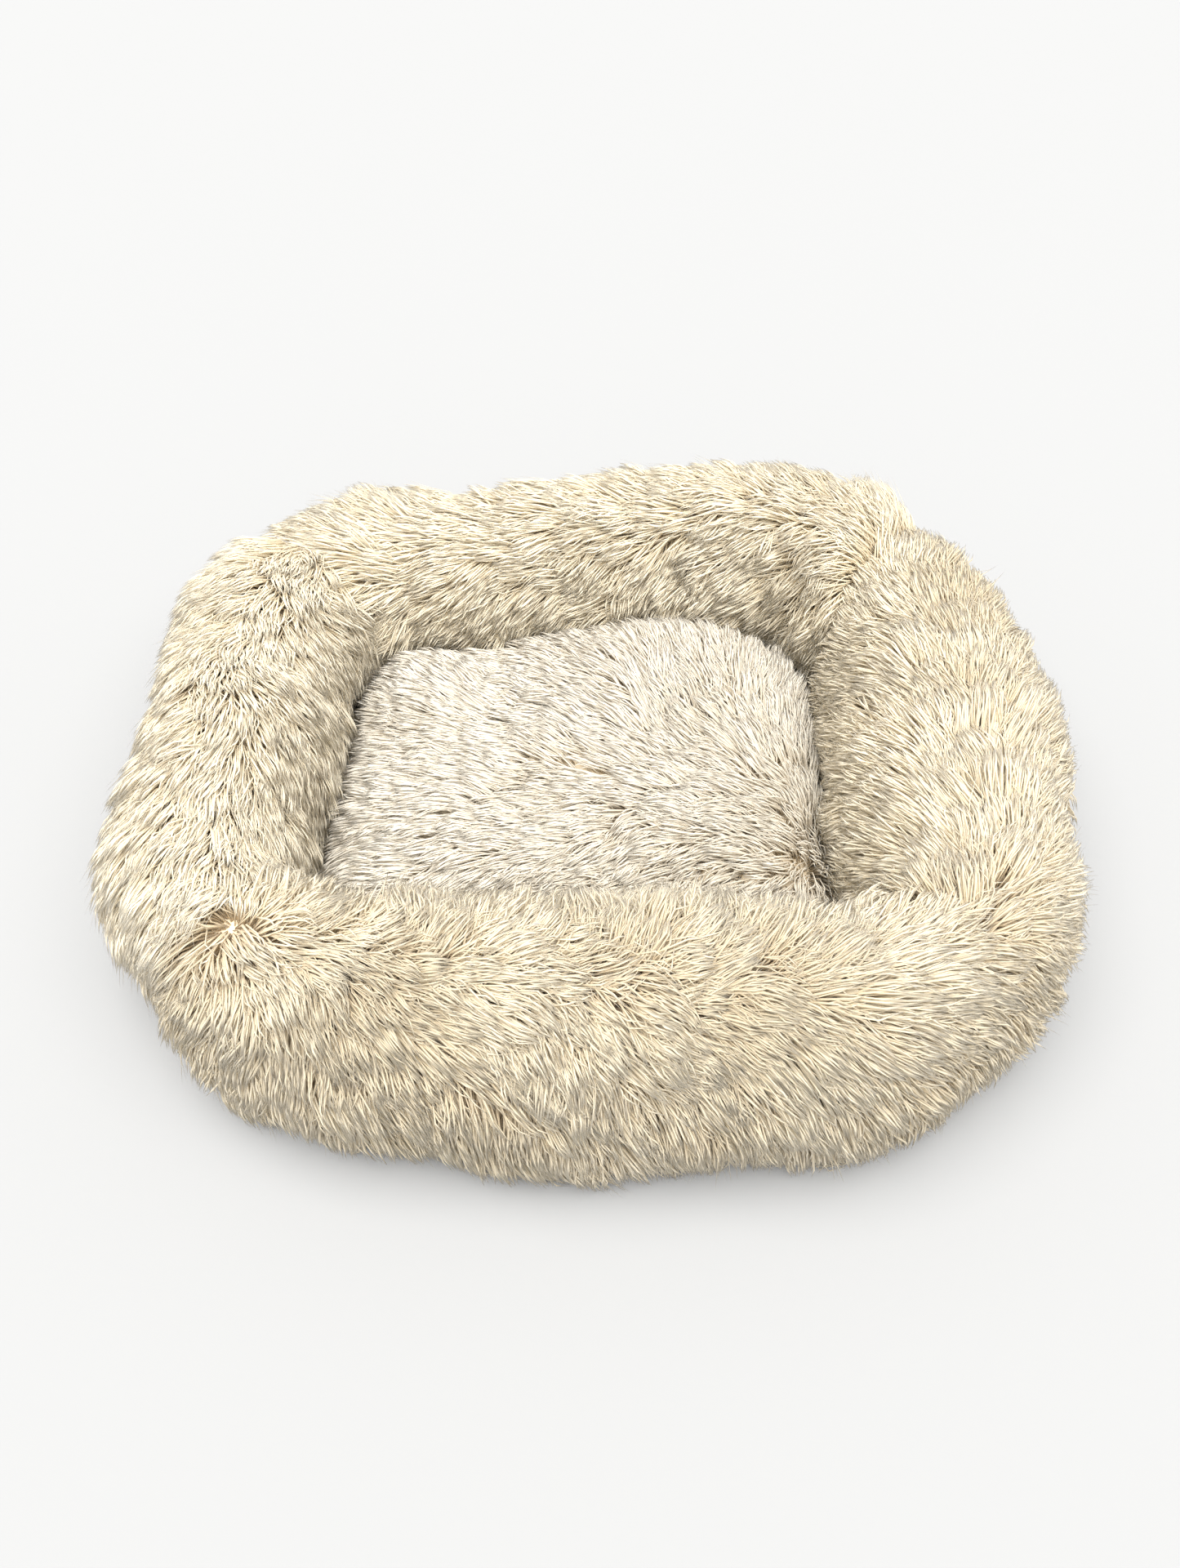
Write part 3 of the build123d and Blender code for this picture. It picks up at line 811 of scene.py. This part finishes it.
def unsettle(point, normal, flow, tousle, broad, fine, loose, seed):
    # The combing turns a little from place to place, broadly and finely, and is tousled unevenly.
    swirl = broad * wander(point, 0.06, seed) + fine * wander(point, 0.025, seed + 1)
    flow = flow + np.cross(normal, flow) * swirl[:, None]
    return flow, np.clip(tousle + loose * wander(point, 0.05, seed + 2), 0, 1)


def lockKinds(lockCount, strandCount, slim):
    # of the locks and of the thin strands: number, rings, widths, thickness, length
    return (
        (lockCount, lockRings, lockWidth, pile["width"] * slim, 1.0),
        (strandCount, strandRings, strandWidth, pile["strandWidth"], 1.08),
    )


def addPile(name, parts, material, body):
    addPiece(name, pileMesh(name, parts), materials[material], body)
    print(name, sum(len(part[0]) for part in parts), "locks")


def growLocks(roots, normals, flow, length, width, tousle, cells, rings, widths, droop):
    # A lock leaves its root along the normal, bends over into the flow and sags. Each ring has
    # three points round the lock's line, and the last point is the tip.
    count, steps = len(roots), len(rings)
    way = unit(flow - normals * np.sum(flow * normals, -1, keepdims=True))
    tufts = int(cells.max()) + 1
    lockTurn, tuftTurn = pile["turn"]
    heading = random.normal(0, lockTurn, count) * (1 + tousle)
    heading += random.normal(0, tuftTurn, tufts)[cells] * (1 + 4 * tousle)
    length = length * random.uniform(0.86, 1.14, tufts)[cells]
    still = 1 - np.clip(np.linalg.norm(flow, axis=-1), 0, 1)  # the middle of a whorl stands up
    sideways = np.cross(normals, way)
    way = unit(way * np.cos(heading)[:, None] + sideways * np.sin(heading)[:, None])
    sideways = np.cross(normals, way)
    raised = random.normal(0, pile["tuftLift"], tufts)[cells] + 9 * still
    (rootLow, rootMore), (tipLow, tipMore) = pile["rootLift"], pile["tipLift"]
    first = np.radians(rootLow + rootMore * random.random(count) + 6 * tousle + raised)
    loose = 16 * tousle
    last = np.radians(tipLow + tipMore * random.random(count) + loose * random.random(count) + raised)
    sway = random.normal(0, pile["sway"], count) * (1 + 1.2 * tousle)
    phase = random.uniform(0, tau, count)
    line = np.empty((steps, count, 3))
    line[0] = roots
    for k in range(1, steps):
        middle = (rings[k] + rings[k - 1]) / 2
        lift = last + (first - last) * (1 - middle) ** 1.7
        step = way * np.cos(lift)[:, None] + normals * np.sin(lift)[:, None]
        step = step + sideways * (sway * np.sin(phase + 4.2 * middle))[:, None]
        step[:, 2] -= droop * middle
        line[k] = line[k - 1] + unit(step) * (length * (rings[k] - rings[k - 1]))[:, None]
    # the tips of one tuft close up on the tuft's own middle line
    members = np.maximum(np.bincount(cells, minlength=tufts), 1)
    for k in range(1, steps):
        mean = np.stack([np.bincount(cells, line[k][:, i], tufts) / members for i in range(3)], -1)
        pull = pile["gather"] * rings[k] ** 1.5
        line[k] += (mean[cells] - line[k]) * pull
    line[..., 2] = np.maximum(line[..., 2], pile["lowest"] + 0.001 * random.random(count))
    over = np.maximum(line[..., 2] - topZ, 0)
    line[..., 2] -= over * over / (over + pile["standOut"])
    ahead = np.empty((steps, count, 3))
    ahead[:-1] = unit(line[1:] - line[:-1])
    ahead[-1] = ahead[-2]
    spin = random.uniform(0, tau, count)
    points = np.empty((count, 3 * (steps - 1) + 1, 3))
    for k in range(steps - 1):
        wide = unit(np.cross(ahead[k], normals) + 1e-6)
        thick = np.cross(wide, ahead[k])
        for j in range(3):
            angle = spin + j * tau / 3
            radius = width * widths[k]
            points[:, 3 * k + j] = (
                line[k]
                + wide * (radius * np.cos(angle))[:, None]
                + thick * (radius * 0.8 * np.sin(angle))[:, None]
            )
    points[:, -1] = line[-1]
    return points


def lockFaces(steps):
    # quads between the rings, three triangles at the tip, one across the root
    quads = [(3 * k + j, 3 * k + (j + 1) % 3, 3 * k + 3 + (j + 1) % 3, 3 * k + 3 + j)
             for k in range(steps - 2) for j in range(3)]
    end = 3 * (steps - 1)
    tips = [(end - 3 + j, end - 3 + (j + 1) % 3, end) for j in range(3)] + [(2, 1, 0)]
    return np.array(quads), np.array(tips)


def lockUvs(rings, quads, tips, toneAndShade):
    # u is the lock's tone, partly random and partly painted light and shade, with a narrow strip for each
    # of its three sides, v runs to the tip
    last = 3 * (len(rings) - 1)
    quadUv = np.zeros((len(quads), 4, 2))
    for f, quad in enumerate(quads):
        j = f % 3
        for c, corner in enumerate(quad):
            quadUv[f, c] = (0.006 * (j + (c in (1, 2))), rings[corner // 3])
    tipUv = np.zeros((len(tips), 3, 2))
    for f, tri in enumerate(tips[:-1]):
        for c, corner in enumerate(tri):
            v = 1.0 if corner == last else rings[corner // 3]
            tipUv[f, c] = (0.006 * (f + (0, 1, 0.5)[c]), v)
    tipUv[-1] = [(0.0, 0.0), (0.018, 0.0), (0.009, 0.03)]
    start = (0.01 + 0.96 * toneAndShade)[:, None, None]
    allQuads = np.tile(quadUv.reshape(-1, 2), (len(toneAndShade), 1, 1))
    allTips = np.tile(tipUv.reshape(-1, 2), (len(toneAndShade), 1, 1))
    allQuads[..., :1] += start
    allTips[..., :1] += start
    return allQuads.reshape(-1, 2), allTips.reshape(-1, 2)


def pileMesh(name, parts):
    # parts: (points, rings, tone) of each kind of lock; the tone holds painted light and shade as well as
    # random tone
    allPoints, quadList, tipList, quadUv, tipUv, start = [], [], [], [], [], 0
    for points, rings, toneAndShade in parts:
        count, size = points.shape[:2]
        quads, tips = lockFaces(len(rings))
        first = start + size * np.arange(count)
        quadList.append((first[:, None, None] + quads).reshape(-1, 4))
        tipList.append((first[:, None, None] + tips).reshape(-1, 3))
        uvQ, uvT = lockUvs(rings, quads, tips, toneAndShade)
        quadUv.append(uvQ)
        tipUv.append(uvT)
        allPoints.append(points.reshape(-1, 3))
        start += count * size
    faces = [np.concatenate(quadList), np.concatenate(tipList)]
    mesh = meshFromArrays(name, np.concatenate(allPoints), faces)
    layer = mesh.uv_layers.new(name="OFBake")
    uv = np.concatenate(quadUv + tipUv).astype(np.float32)
    layer.uv.foreach_set("vector", uv.ravel())
    return mesh


def behindZip(side, a, point):
    past, half = pile["zipBare"]
    middle = (zipLow[2] + zipHigh[2]) / 2
    bare = (np.abs(point[:, 0]) < zipHigh[0] + past) & (np.abs(point[:, 2] - middle) < half)
    return bare & (np.cos(a) > 0) & (side == "back")


def clearOfZip(points):
    # Locks that would hang where the slider and pull move are shortened to end above the zip,
    # or left out. Returns the locks and which ones stay.
    pullLow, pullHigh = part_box("zip_pull")
    swing = pullHigh[0] + pullHigh[0] - pullLow[0] + 0.001
    probes = np.concatenate([points, (points[:, 3:] + points[:, :-3]) / 2], 1)
    x, y, z = np.moveaxis(probes, -1, 0)
    tape = (np.abs(x) < zipHigh[0] + 0.002) & (y > zipHigh[1] - 0.0015)
    tape = tape & (z > zipLow[2] - 0.001) & (z < zipHigh[2] + 0.001)
    pull = (np.abs(x) < swing) & (y > zipHigh[1] - 0.001)
    pull = pull & (z > pullLow[2] - 0.002) & (z < pullHigh[2] + 0.002)
    caught = (tape | pull).any(1)
    root, lowest = points[:, 0, 2], points[..., 2].min(1)
    share = np.where(caught, (root - zipHigh[2] - 0.001) / np.maximum(root - lowest, 1e-4), 1)
    short = points[:, :1] + (points - points[:, :1]) * np.clip(share, 0, 1)[:, None, None]
    return short[share > 0.3], share > 0.3


def sowSide(side, count, low, high):
    # Jittered roots on one side between two places round the roll, kept in step with true area.
    rows = int(math.sqrt(count * 1.9))
    columns = int(count * 1.9 / rows)
    i, j = np.meshgrid(np.arange(rows), np.arange(columns), indexing="ij")
    v = (i.ravel() + random.random(i.size)) / rows * 2 - 1
    a = np.radians(low + (j.ravel() + random.random(j.size)) / columns * (high - low))
    v = v * (1 - 0.003 / halfLength[side])
    point, normal, area = rollFrame(side, v, a)
    keep = (random.random(len(v)) < area / np.quantile(area, 0.98)) & ~behindZip(side, a, point)
    order = random.permutation(np.nonzero(keep)[0])[:count]
    order.sort()
    return v[order], a[order], point[order], normal[order]


def rollFrame(side, v, a):
    depth = roll["pileDepth"]
    point = rollPoint(side, v, a, depth)
    dv = rollPoint(side, v + 0.004, a, depth) - rollPoint(side, v - 0.004, a, depth)
    da = rollPoint(side, v, a + 0.02, depth) - rollPoint(side, v, a - 0.02, depth)
    cross = np.cross(da, dv)
    area = np.linalg.norm(cross, axis=-1)
    normal = unit(cross)
    place, _ = sidePath(side, v)
    away = point - place - np.array([0, 0, 0.07])
    normal = normal * np.sign(np.sum(normal * away, -1, keepdims=True))
    return point, normal, area


def nearestTuft(plan, spacing):
    # Tuft number of each root: its cell in a jittered grid over the surface.
    warped = plan / spacing + 0.35 * np.sin(plan[:, ::-1] / spacing * 1.7)
    cell = np.floor(warped + 0.25 * random.normal(size=warped.shape)).astype(int)
    _, number = np.unique(cell, axis=0, return_inverse=True)
    return number.ravel()


def furnishSide(side, band, low, high, lockCount, strandCount):
    scale = np.array([halfLength[side], pile["rollRadius"]])
    marks = [np.array([s[0], math.radians(s[1])]) * scale for s in strokes[side]]
    parts = []
    for count, rings, widths, thick, longer in lockKinds(lockCount, strandCount, 1.0):
        v, a, point, normal = sowSide(side, count, low, high)
        plan = np.stack([v, a], -1) * scale
        flow, tousle = combedFlow(plan, marks, strokes[side])
        flow, tousle = unsettle(point, normal, flow, tousle, 0.35 + 0.4 * tousle, 0.2, 0.15, 21)
        hanging = smooth(-normal[:, 2], -0.75, 0.3) * (np.cos(a) > 0)
        length = pile["bolsterLength"] * longer * random.uniform(0.78, 1.15, len(v)) * (1 + 0.12 * hanging)
        if side == "back":
            nearZip = smooth(zipHigh[0] + 0.018 - np.abs(point[:, 0]), 0, 0.012)
            nearZip = nearZip * (np.cos(a) > 0) * smooth(0.092 - point[:, 2], 0, 0.035)
            length = length * (1 - 0.66 * nearZip)
        # The tone holds each side's painted light and shade, tone that differs at random, and a darker tone
        # where the locks are tousled.
        toneAndShade = pile["paintedLight"][side] + 0.2 * wander(point, 0.12, 31) - 0.25 * tousle
        # painted light: the inner band faces the well and lies in its shade, so it is painted paler
        toneAndShade = toneAndShade + random.normal(0, 0.07, len(v)) + 0.6 * smooth(-np.cos(a), -0.1, 0.6)
        # painted shade: the locks are painted darker near the floor
        toneAndShade = toneAndShade - 0.6 * smooth(0.055 - point[:, 2], 0, 0.05)
        toneAndShade = np.clip(toneAndShade, 0, 1)
        cells = nearestTuft(plan, pile["clump"])
        width = thick * random.uniform(0.75, 1.25, len(v))
        droop = 0.25 + 0.5 * hanging
        points = growLocks(point, normal, flow, length, width, tousle, cells, rings, widths, droop)
        if side == "back":
            points, stays = clearOfZip(points)
            toneAndShade = toneAndShade[stays]
        parts.append((points, rings, toneAndShade))
    addPile(f"{side}Pile{band}", parts, "bolsterPile", "root")


def furnishCushion(name, low, high, lockCount, strandCount):
    inset = cushion["pileDepth"]
    extent = np.array([cushionHigh[0], cushionHigh[1]])
    marks = [np.array(s[:2]) * extent for s in cushionStrokes]
    parts = []
    for count, rings, widths, thick, longer in lockKinds(lockCount, strandCount, 0.95):
        many = count * 6
        w, t = random.random(many), (low + (high - low) * random.random(many)) % 1
        point = cushionTop(w, t, inset)
        dw = cushionTop(np.minimum(w + 0.004, 1), t, inset) - cushionTop(np.maximum(w - 0.004, 0), t, inset)
        dt = cushionTop(w, (t + 0.002) % 1, inset) - cushionTop(w, (t - 0.002) % 1, inset)
        cross = np.cross(dw, dt)
        area = np.linalg.norm(cross, axis=-1)
        keep = random.random(many) < area / np.quantile(area, 0.97)
        order = np.nonzero(keep)[0][:count]
        point, normal = point[order], unit(cross[order])
        normal = normal * np.sign(normal[:, 2:] + 1e-6)
        plan = point[:, :2]
        flow, tousle = combedFlow(plan, marks, cushionStrokes)
        flow, tousle = unsettle(point, normal, flow, tousle, 0.28, 0.18, 0.12, 51)
        length = pile["cushionLength"] * longer * random.uniform(0.78, 1.15, len(point))
        toneAndShade = 0.68 + 0.18 * wander(point, 0.12, 61) - 0.2 * tousle + random.normal(0, 0.08, len(point))
        # painted light: a painted highlight over the rear left of the cushion
        toneAndShade = toneAndShade - 1.5 * point[:, 0] + 1.2 * point[:, 1]  # paler towards the rear left
        toneAndShade = np.clip(toneAndShade, 0, 1)
        cells = nearestTuft(plan, pile["clump"] * 0.9)
        width = thick * random.uniform(0.75, 1.25, len(point))
        droop = np.full(len(point), 0.25)
        points = growLocks(point, normal, flow, length, width, tousle, cells, rings, widths, droop)
        parts.append((points, rings, toneAndShade))
    addPile(name, parts, "cushionPile", "cushion")


bands = {"Outer": (-52, 45), "Crown": (45, 112), "Inner": (112, 205)}
amount = {  # locks and strands for each side's bands
    "front": ((9500, 1400), (9500, 1400), (5800, 600)),
    "back": ((6400, 700), (8400, 1100), (7800, 900)),
    "left": ((6400, 700), (7000, 900), (5600, 600)),
    "right": ((6400, 700), (7000, 900), (5600, 600)),
}
for side, counts in amount.items():
    for (band, (low, high)), (lockCount, strandCount) in zip(bands.items(), counts):
        furnishSide(side, band, low, high, lockCount, strandCount)
furnishCushion("cushionPileLeft", 0.25, 0.75, 9900, 1000)
furnishCushion("cushionPileRight", 0.75, 1.25, 9900, 1000)
print("pile made")


# Base, lining, zip stitches and label.

base = {
    "dotPitch": 0.0150,
    "dotRadius": 0.0022,
    "dotDepth": 0.0007,
    "stitchPitch": 0.0050,
    "stitchLength": 0.0030,
    "stitchWidth": 0.00032,
    "zipStitchPitch": 0.0036,
    "padCorner": 0.058,
    "liningCorner": 0.057,
    "puff": 0.0006,  # unevenness of the wadding, then of the lining on it
    "ripple": 0.0005,
    "labelCurl": 0.0045,  # the label's free end lifts this far
}


def roundedLoop(halves, radius, count):
    # A rectangle whose corners are quarter circles, in equal steps, with its outward directions.
    quarter = np.linspace(0, math.pi / 2, 40)
    angle = np.concatenate([quarter + k * math.pi / 2 for k in range(4)] + [[tau]])
    signX = np.concatenate([np.full(40, sign) for sign in (1, -1, -1, 1)] + [[1]])
    signY = np.concatenate([np.full(40, sign) for sign in (1, 1, -1, -1)] + [[1]])
    ring = np.stack([
        signX * (halves[0] - radius) + radius * np.cos(angle),
        signY * (halves[1] - radius) + radius * np.sin(angle),
    ], -1)
    along = np.concatenate([[0], np.cumsum(np.linalg.norm(np.diff(ring, axis=0), axis=-1))])
    at = np.arange(count) / count * along[-1]
    points = np.stack([np.interp(at, along, ring[:, 0]), np.interp(at, along, ring[:, 1])], -1)
    ahead = np.roll(points, -1, 0) - np.roll(points, 1, 0)
    outward = unit(np.stack([ahead[:, 1], -ahead[:, 0]], -1))
    return points, outward, along[-1]


def slabMesh(name, centre, halves, radius, low, high, warp=None):
    # A flat closed piece: rings that shrink from the outline to the middle, above and below, and
    # a rounded edge between them. warp moves the finished points.
    columns, edge = 160, (high - low) / 2
    loop, outward, _ = roundedLoop(halves, radius, columns)
    flat = np.linspace(0.08, 1, 16)
    turn = np.linspace(0, math.pi / 2, 4)[1:]
    rings = []
    for side in (1, -1):
        z = high if side > 0 else low
        level = [np.column_stack([(loop - outward * edge) * share, np.full(columns, z)]) for share in flat]
        for angle in turn if side > 0 else turn[:-1]:
            plan = loop - outward * (edge * (1 - math.sin(angle)))
            z = (high + low) / 2 + side * edge * math.cos(angle)
            level.append(np.column_stack([plan, np.full(columns, z)]))
        rings += level if side > 0 else level[::-1]
    grid = np.stack(rings)
    rows = len(rings)
    hubs = np.array([(0, 0, high), (0, 0, low)])
    points = np.concatenate([grid.reshape(-1, 3), hubs]) + np.array([*centre, 0])
    if warp:
        points = warp(points)
    first, last = np.arange(columns), (rows - 1) * columns + np.arange(columns)
    faces = [
        gridFaces(rows, columns, wrapColumns=True),
        np.stack([np.full(columns, rows * columns), np.roll(first, -1), first], -1),
        np.stack([np.full(columns, rows * columns + 1), last, np.roll(last, -1)], -1),
    ]
    mesh = meshFromArrays(name, points, faces)
    closeMesh(mesh)
    return mesh


def repeatedMesh(name, shape, faces, places, axes):
    # One small shape at many places; axes holds each one's X, Y and Z directions.
    points = np.einsum("pk,nkx->npx", shape, axes) + places[:, None]
    start = len(shape) * np.arange(len(places))
    copies = [(start[:, None, None] + f).reshape(-1, f.shape[1]) for f in faces]
    mesh = meshFromArrays(name, points.reshape(-1, 3), copies)
    faceOutwards(mesh)
    return mesh


def revolvedShape(profile, around):
    # profile: (distance along X, radius) rings between two poles; a closed bead or capsule
    angle = np.arange(around) / around * tau
    spokes = np.stack([0 * angle, np.cos(angle), np.sin(angle)], -1)
    rings = [np.array([x, 0, 0]) + r * spokes for x, r in profile[1:-1]]
    points = np.concatenate([*rings, [(profile[0][0], 0, 0)], [(profile[-1][0], 0, 0)]])
    count = len(rings)
    first, last = np.arange(around), (count - 1) * around + np.arange(around)
    quads = gridFaces(count, around, wrapColumns=True)[:, ::-1]
    ends = np.concatenate([
        np.stack([np.full(around, count * around), np.roll(first, -1), first], -1),
        np.stack([np.full(around, count * around + 1), last, np.roll(last, -1)], -1),
    ])
    return points, [quads, ends]


def stitchRow(name, places, ahead, up):
    half, wide = base["stitchLength"] / 2, base["stitchWidth"]
    profile = [(-half, 0), (-0.8 * half, 0.8 * wide), (0, 1.1 * wide), (0.8 * half, 0.8 * wide), (half, 0)]
    shape, faces = revolvedShape(profile, 6)
    axes = np.stack([ahead, np.cross(up, ahead), up], 1)
    mesh = repeatedMesh(name, shape, faces, places, axes)
    addPiece(name, mesh, materials["thread"], "root")


def makeBase():
    low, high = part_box("base_cloth")
    halves = np.array([high[0], high[1]])
    radius = bendRadius + high[0] - reachX
    floor = low[2] + base["dotDepth"]
    mesh = slabMesh("baseCloth", (0, 0), halves, radius, floor, high[2])
    cloth = addPiece("baseCloth", mesh, materials["baseCloth"], "root")
    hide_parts("base_cloth")
    # dots of grip rubber in staggered rows
    pitch = base["dotPitch"]
    i, j = np.meshgrid(np.arange(-24, 25), np.arange(-20, 21), indexing="ij")
    x, y = (i + 0.5 * (j % 2)).ravel() * pitch, j.ravel() * pitch * 0.87
    corner = np.maximum(np.abs(np.stack([x, y], -1)) - (halves - radius), 0)
    inside = np.hypot(*corner.T) < radius - 0.010
    inside = inside & (np.abs(x) < halves[0] - 0.01) & (np.abs(y) < halves[1] - 0.01)
    places = np.stack([x, y, np.full(len(x), floor)], -1)[inside]
    wide, deep = base["dotRadius"], base["dotDepth"]
    profile = [(0.0002, 0), (0.0001, wide), (-0.6 * deep, 0.75 * wide), (-0.96 * deep, 0)]
    dot, faces = revolvedShape(profile, 8)
    axes = np.broadcast_to(np.array([(0, 0, 1), (1, 0, 0), (0, 1, 0)], float), (len(places), 3, 3))
    mesh = repeatedMesh("gripDots", dot, faces, places, axes)
    dots = addPiece("gripDots", mesh, materials["gripDots"], "root")
    # binding folded over the edge
    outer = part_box("base_binding")[1][0]
    middle = (outer - halves[0]) / 2
    loop, outward, length = roundedLoop(halves + middle, radius + middle, 320)
    turn = np.arange(10) / 10 * tau
    across = (outer - halves[0]) * 0.62 * np.sign(np.cos(turn)) * np.abs(np.cos(turn)) ** 0.6
    tall = 0.0013 * np.sign(np.sin(turn)) * np.abs(np.sin(turn)) ** 0.7
    points = np.empty((320, 10, 3))
    points[..., :2] = loop[:, None] + outward[:, None] * across[None, :, None]
    points[..., 2] = 0.0014 + tall
    mesh = meshFromArrays("baseBinding", points.reshape(-1, 3), [gridFaces(320, 10, True, True)])
    faceOutwards(mesh)
    binding = addPiece("baseBinding", mesh, materials["binding"], "root")
    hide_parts("base_binding")
    count = int(length / base["stitchPitch"])
    loop, outward, _ = roundedLoop(halves + 0.0008, radius + 0.0008, count)
    places = np.column_stack([loop, np.full(count, 0.0005)])
    ahead = np.column_stack([-outward[:, 1], outward[:, 0], np.zeros(count)])
    up = np.broadcast_to(np.array([0.0, 0, 1]), (count, 3))
    stitchRow("bindingStitches", places, ahead, up)


def makeFloorPad():
    low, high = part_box("floor_pad")
    up = np.array([0.0, 0, 1])
    puff = lambda p: p + base["puff"] * (wander(p, 0.09, 71) * (p[:, 2] > 0.008))[:, None] * up
    top = high[2] - 0.0008
    mesh = slabMesh("floorPad", (0, 0), (high[0], high[1]), base["padCorner"], low[2], top, puff)
    pad = addPiece("floorPad", mesh, materials["filling"], "root")
    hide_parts("floor_pad")
    low, high = liningLow, liningHigh
    ripple = lambda p: p + base["ripple"] * wander(p, 0.05, 72)[:, None] * up
    bottom, top = low[2] + 0.0002, high[2] - 0.0003
    radius = base["liningCorner"]
    mesh = slabMesh("wellLining", (0, 0), (high[0], high[1]), radius, bottom, top, ripple)
    lining = addPiece("wellLining", mesh, materials["lining"], "root")
    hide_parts("well_lining")


def makeLabel():
    low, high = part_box("care_label")
    centre = ((low[0] + high[0]) / 2, (low[1] + high[1]) / 2)
    halves = ((high[0] - low[0]) / 2, (high[1] - low[1]) / 2)

    def curl(p):
        # the free end lifts off the floor, one corner more than the other
        free = np.clip((p[:, 1] - low[1] - 0.004) / (high[1] - low[1]), 0, 1)
        lift = base["labelCurl"] * free ** 2 * (1 + 25 * (p[:, 0] - centre[0]))
        return p + np.stack([0 * lift, 0 * lift, lift], -1)

    mesh = slabMesh("careLabel", centre, halves, 0.0008, low[2], high[2], curl)
    label = addPiece("careLabel", mesh, materials["label"], "root")
    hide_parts("care_label")


def finishZip():
    for node, key in (
        ("zip_tape_upper", "zipTape"), ("zip_tape_lower", "zipTape"), ("zip_teeth_upper", "zipNylon"),
        ("zip_teeth_lower", "zipNylon"), ("zip_stop_left", "zipMetal"), ("zip_stop_right", "zipMetal"),
        ("zip_slider", "zipMetal"), ("zip_pull", "zipMetal"),
    ):
        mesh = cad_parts[node].data
        mesh.materials.clear()
        mesh.materials.append(materials[key])
    x = np.arange(-zipHigh[0] + 0.003, zipHigh[0] - 0.002, base["zipStitchPitch"])
    face = zipHigh[1] + base["stitchWidth"] * 0.4
    rows = [np.stack([x, np.full(len(x), face), np.full(len(x), z)], -1)
            for z in (zipLow[2] + 0.0020, zipHigh[2] - 0.0020)]
    places = np.concatenate(rows)
    ahead = np.broadcast_to(np.array([1.0, 0, 0]), places.shape)
    up = np.broadcast_to(np.array([0.0, 1, 0]), places.shape)
    stitchRow("zipStitches", places, ahead, up)


makeBase()
makeFloorPad()
makeLabel()
finishZip()
print("base, lining, label and zip finished")
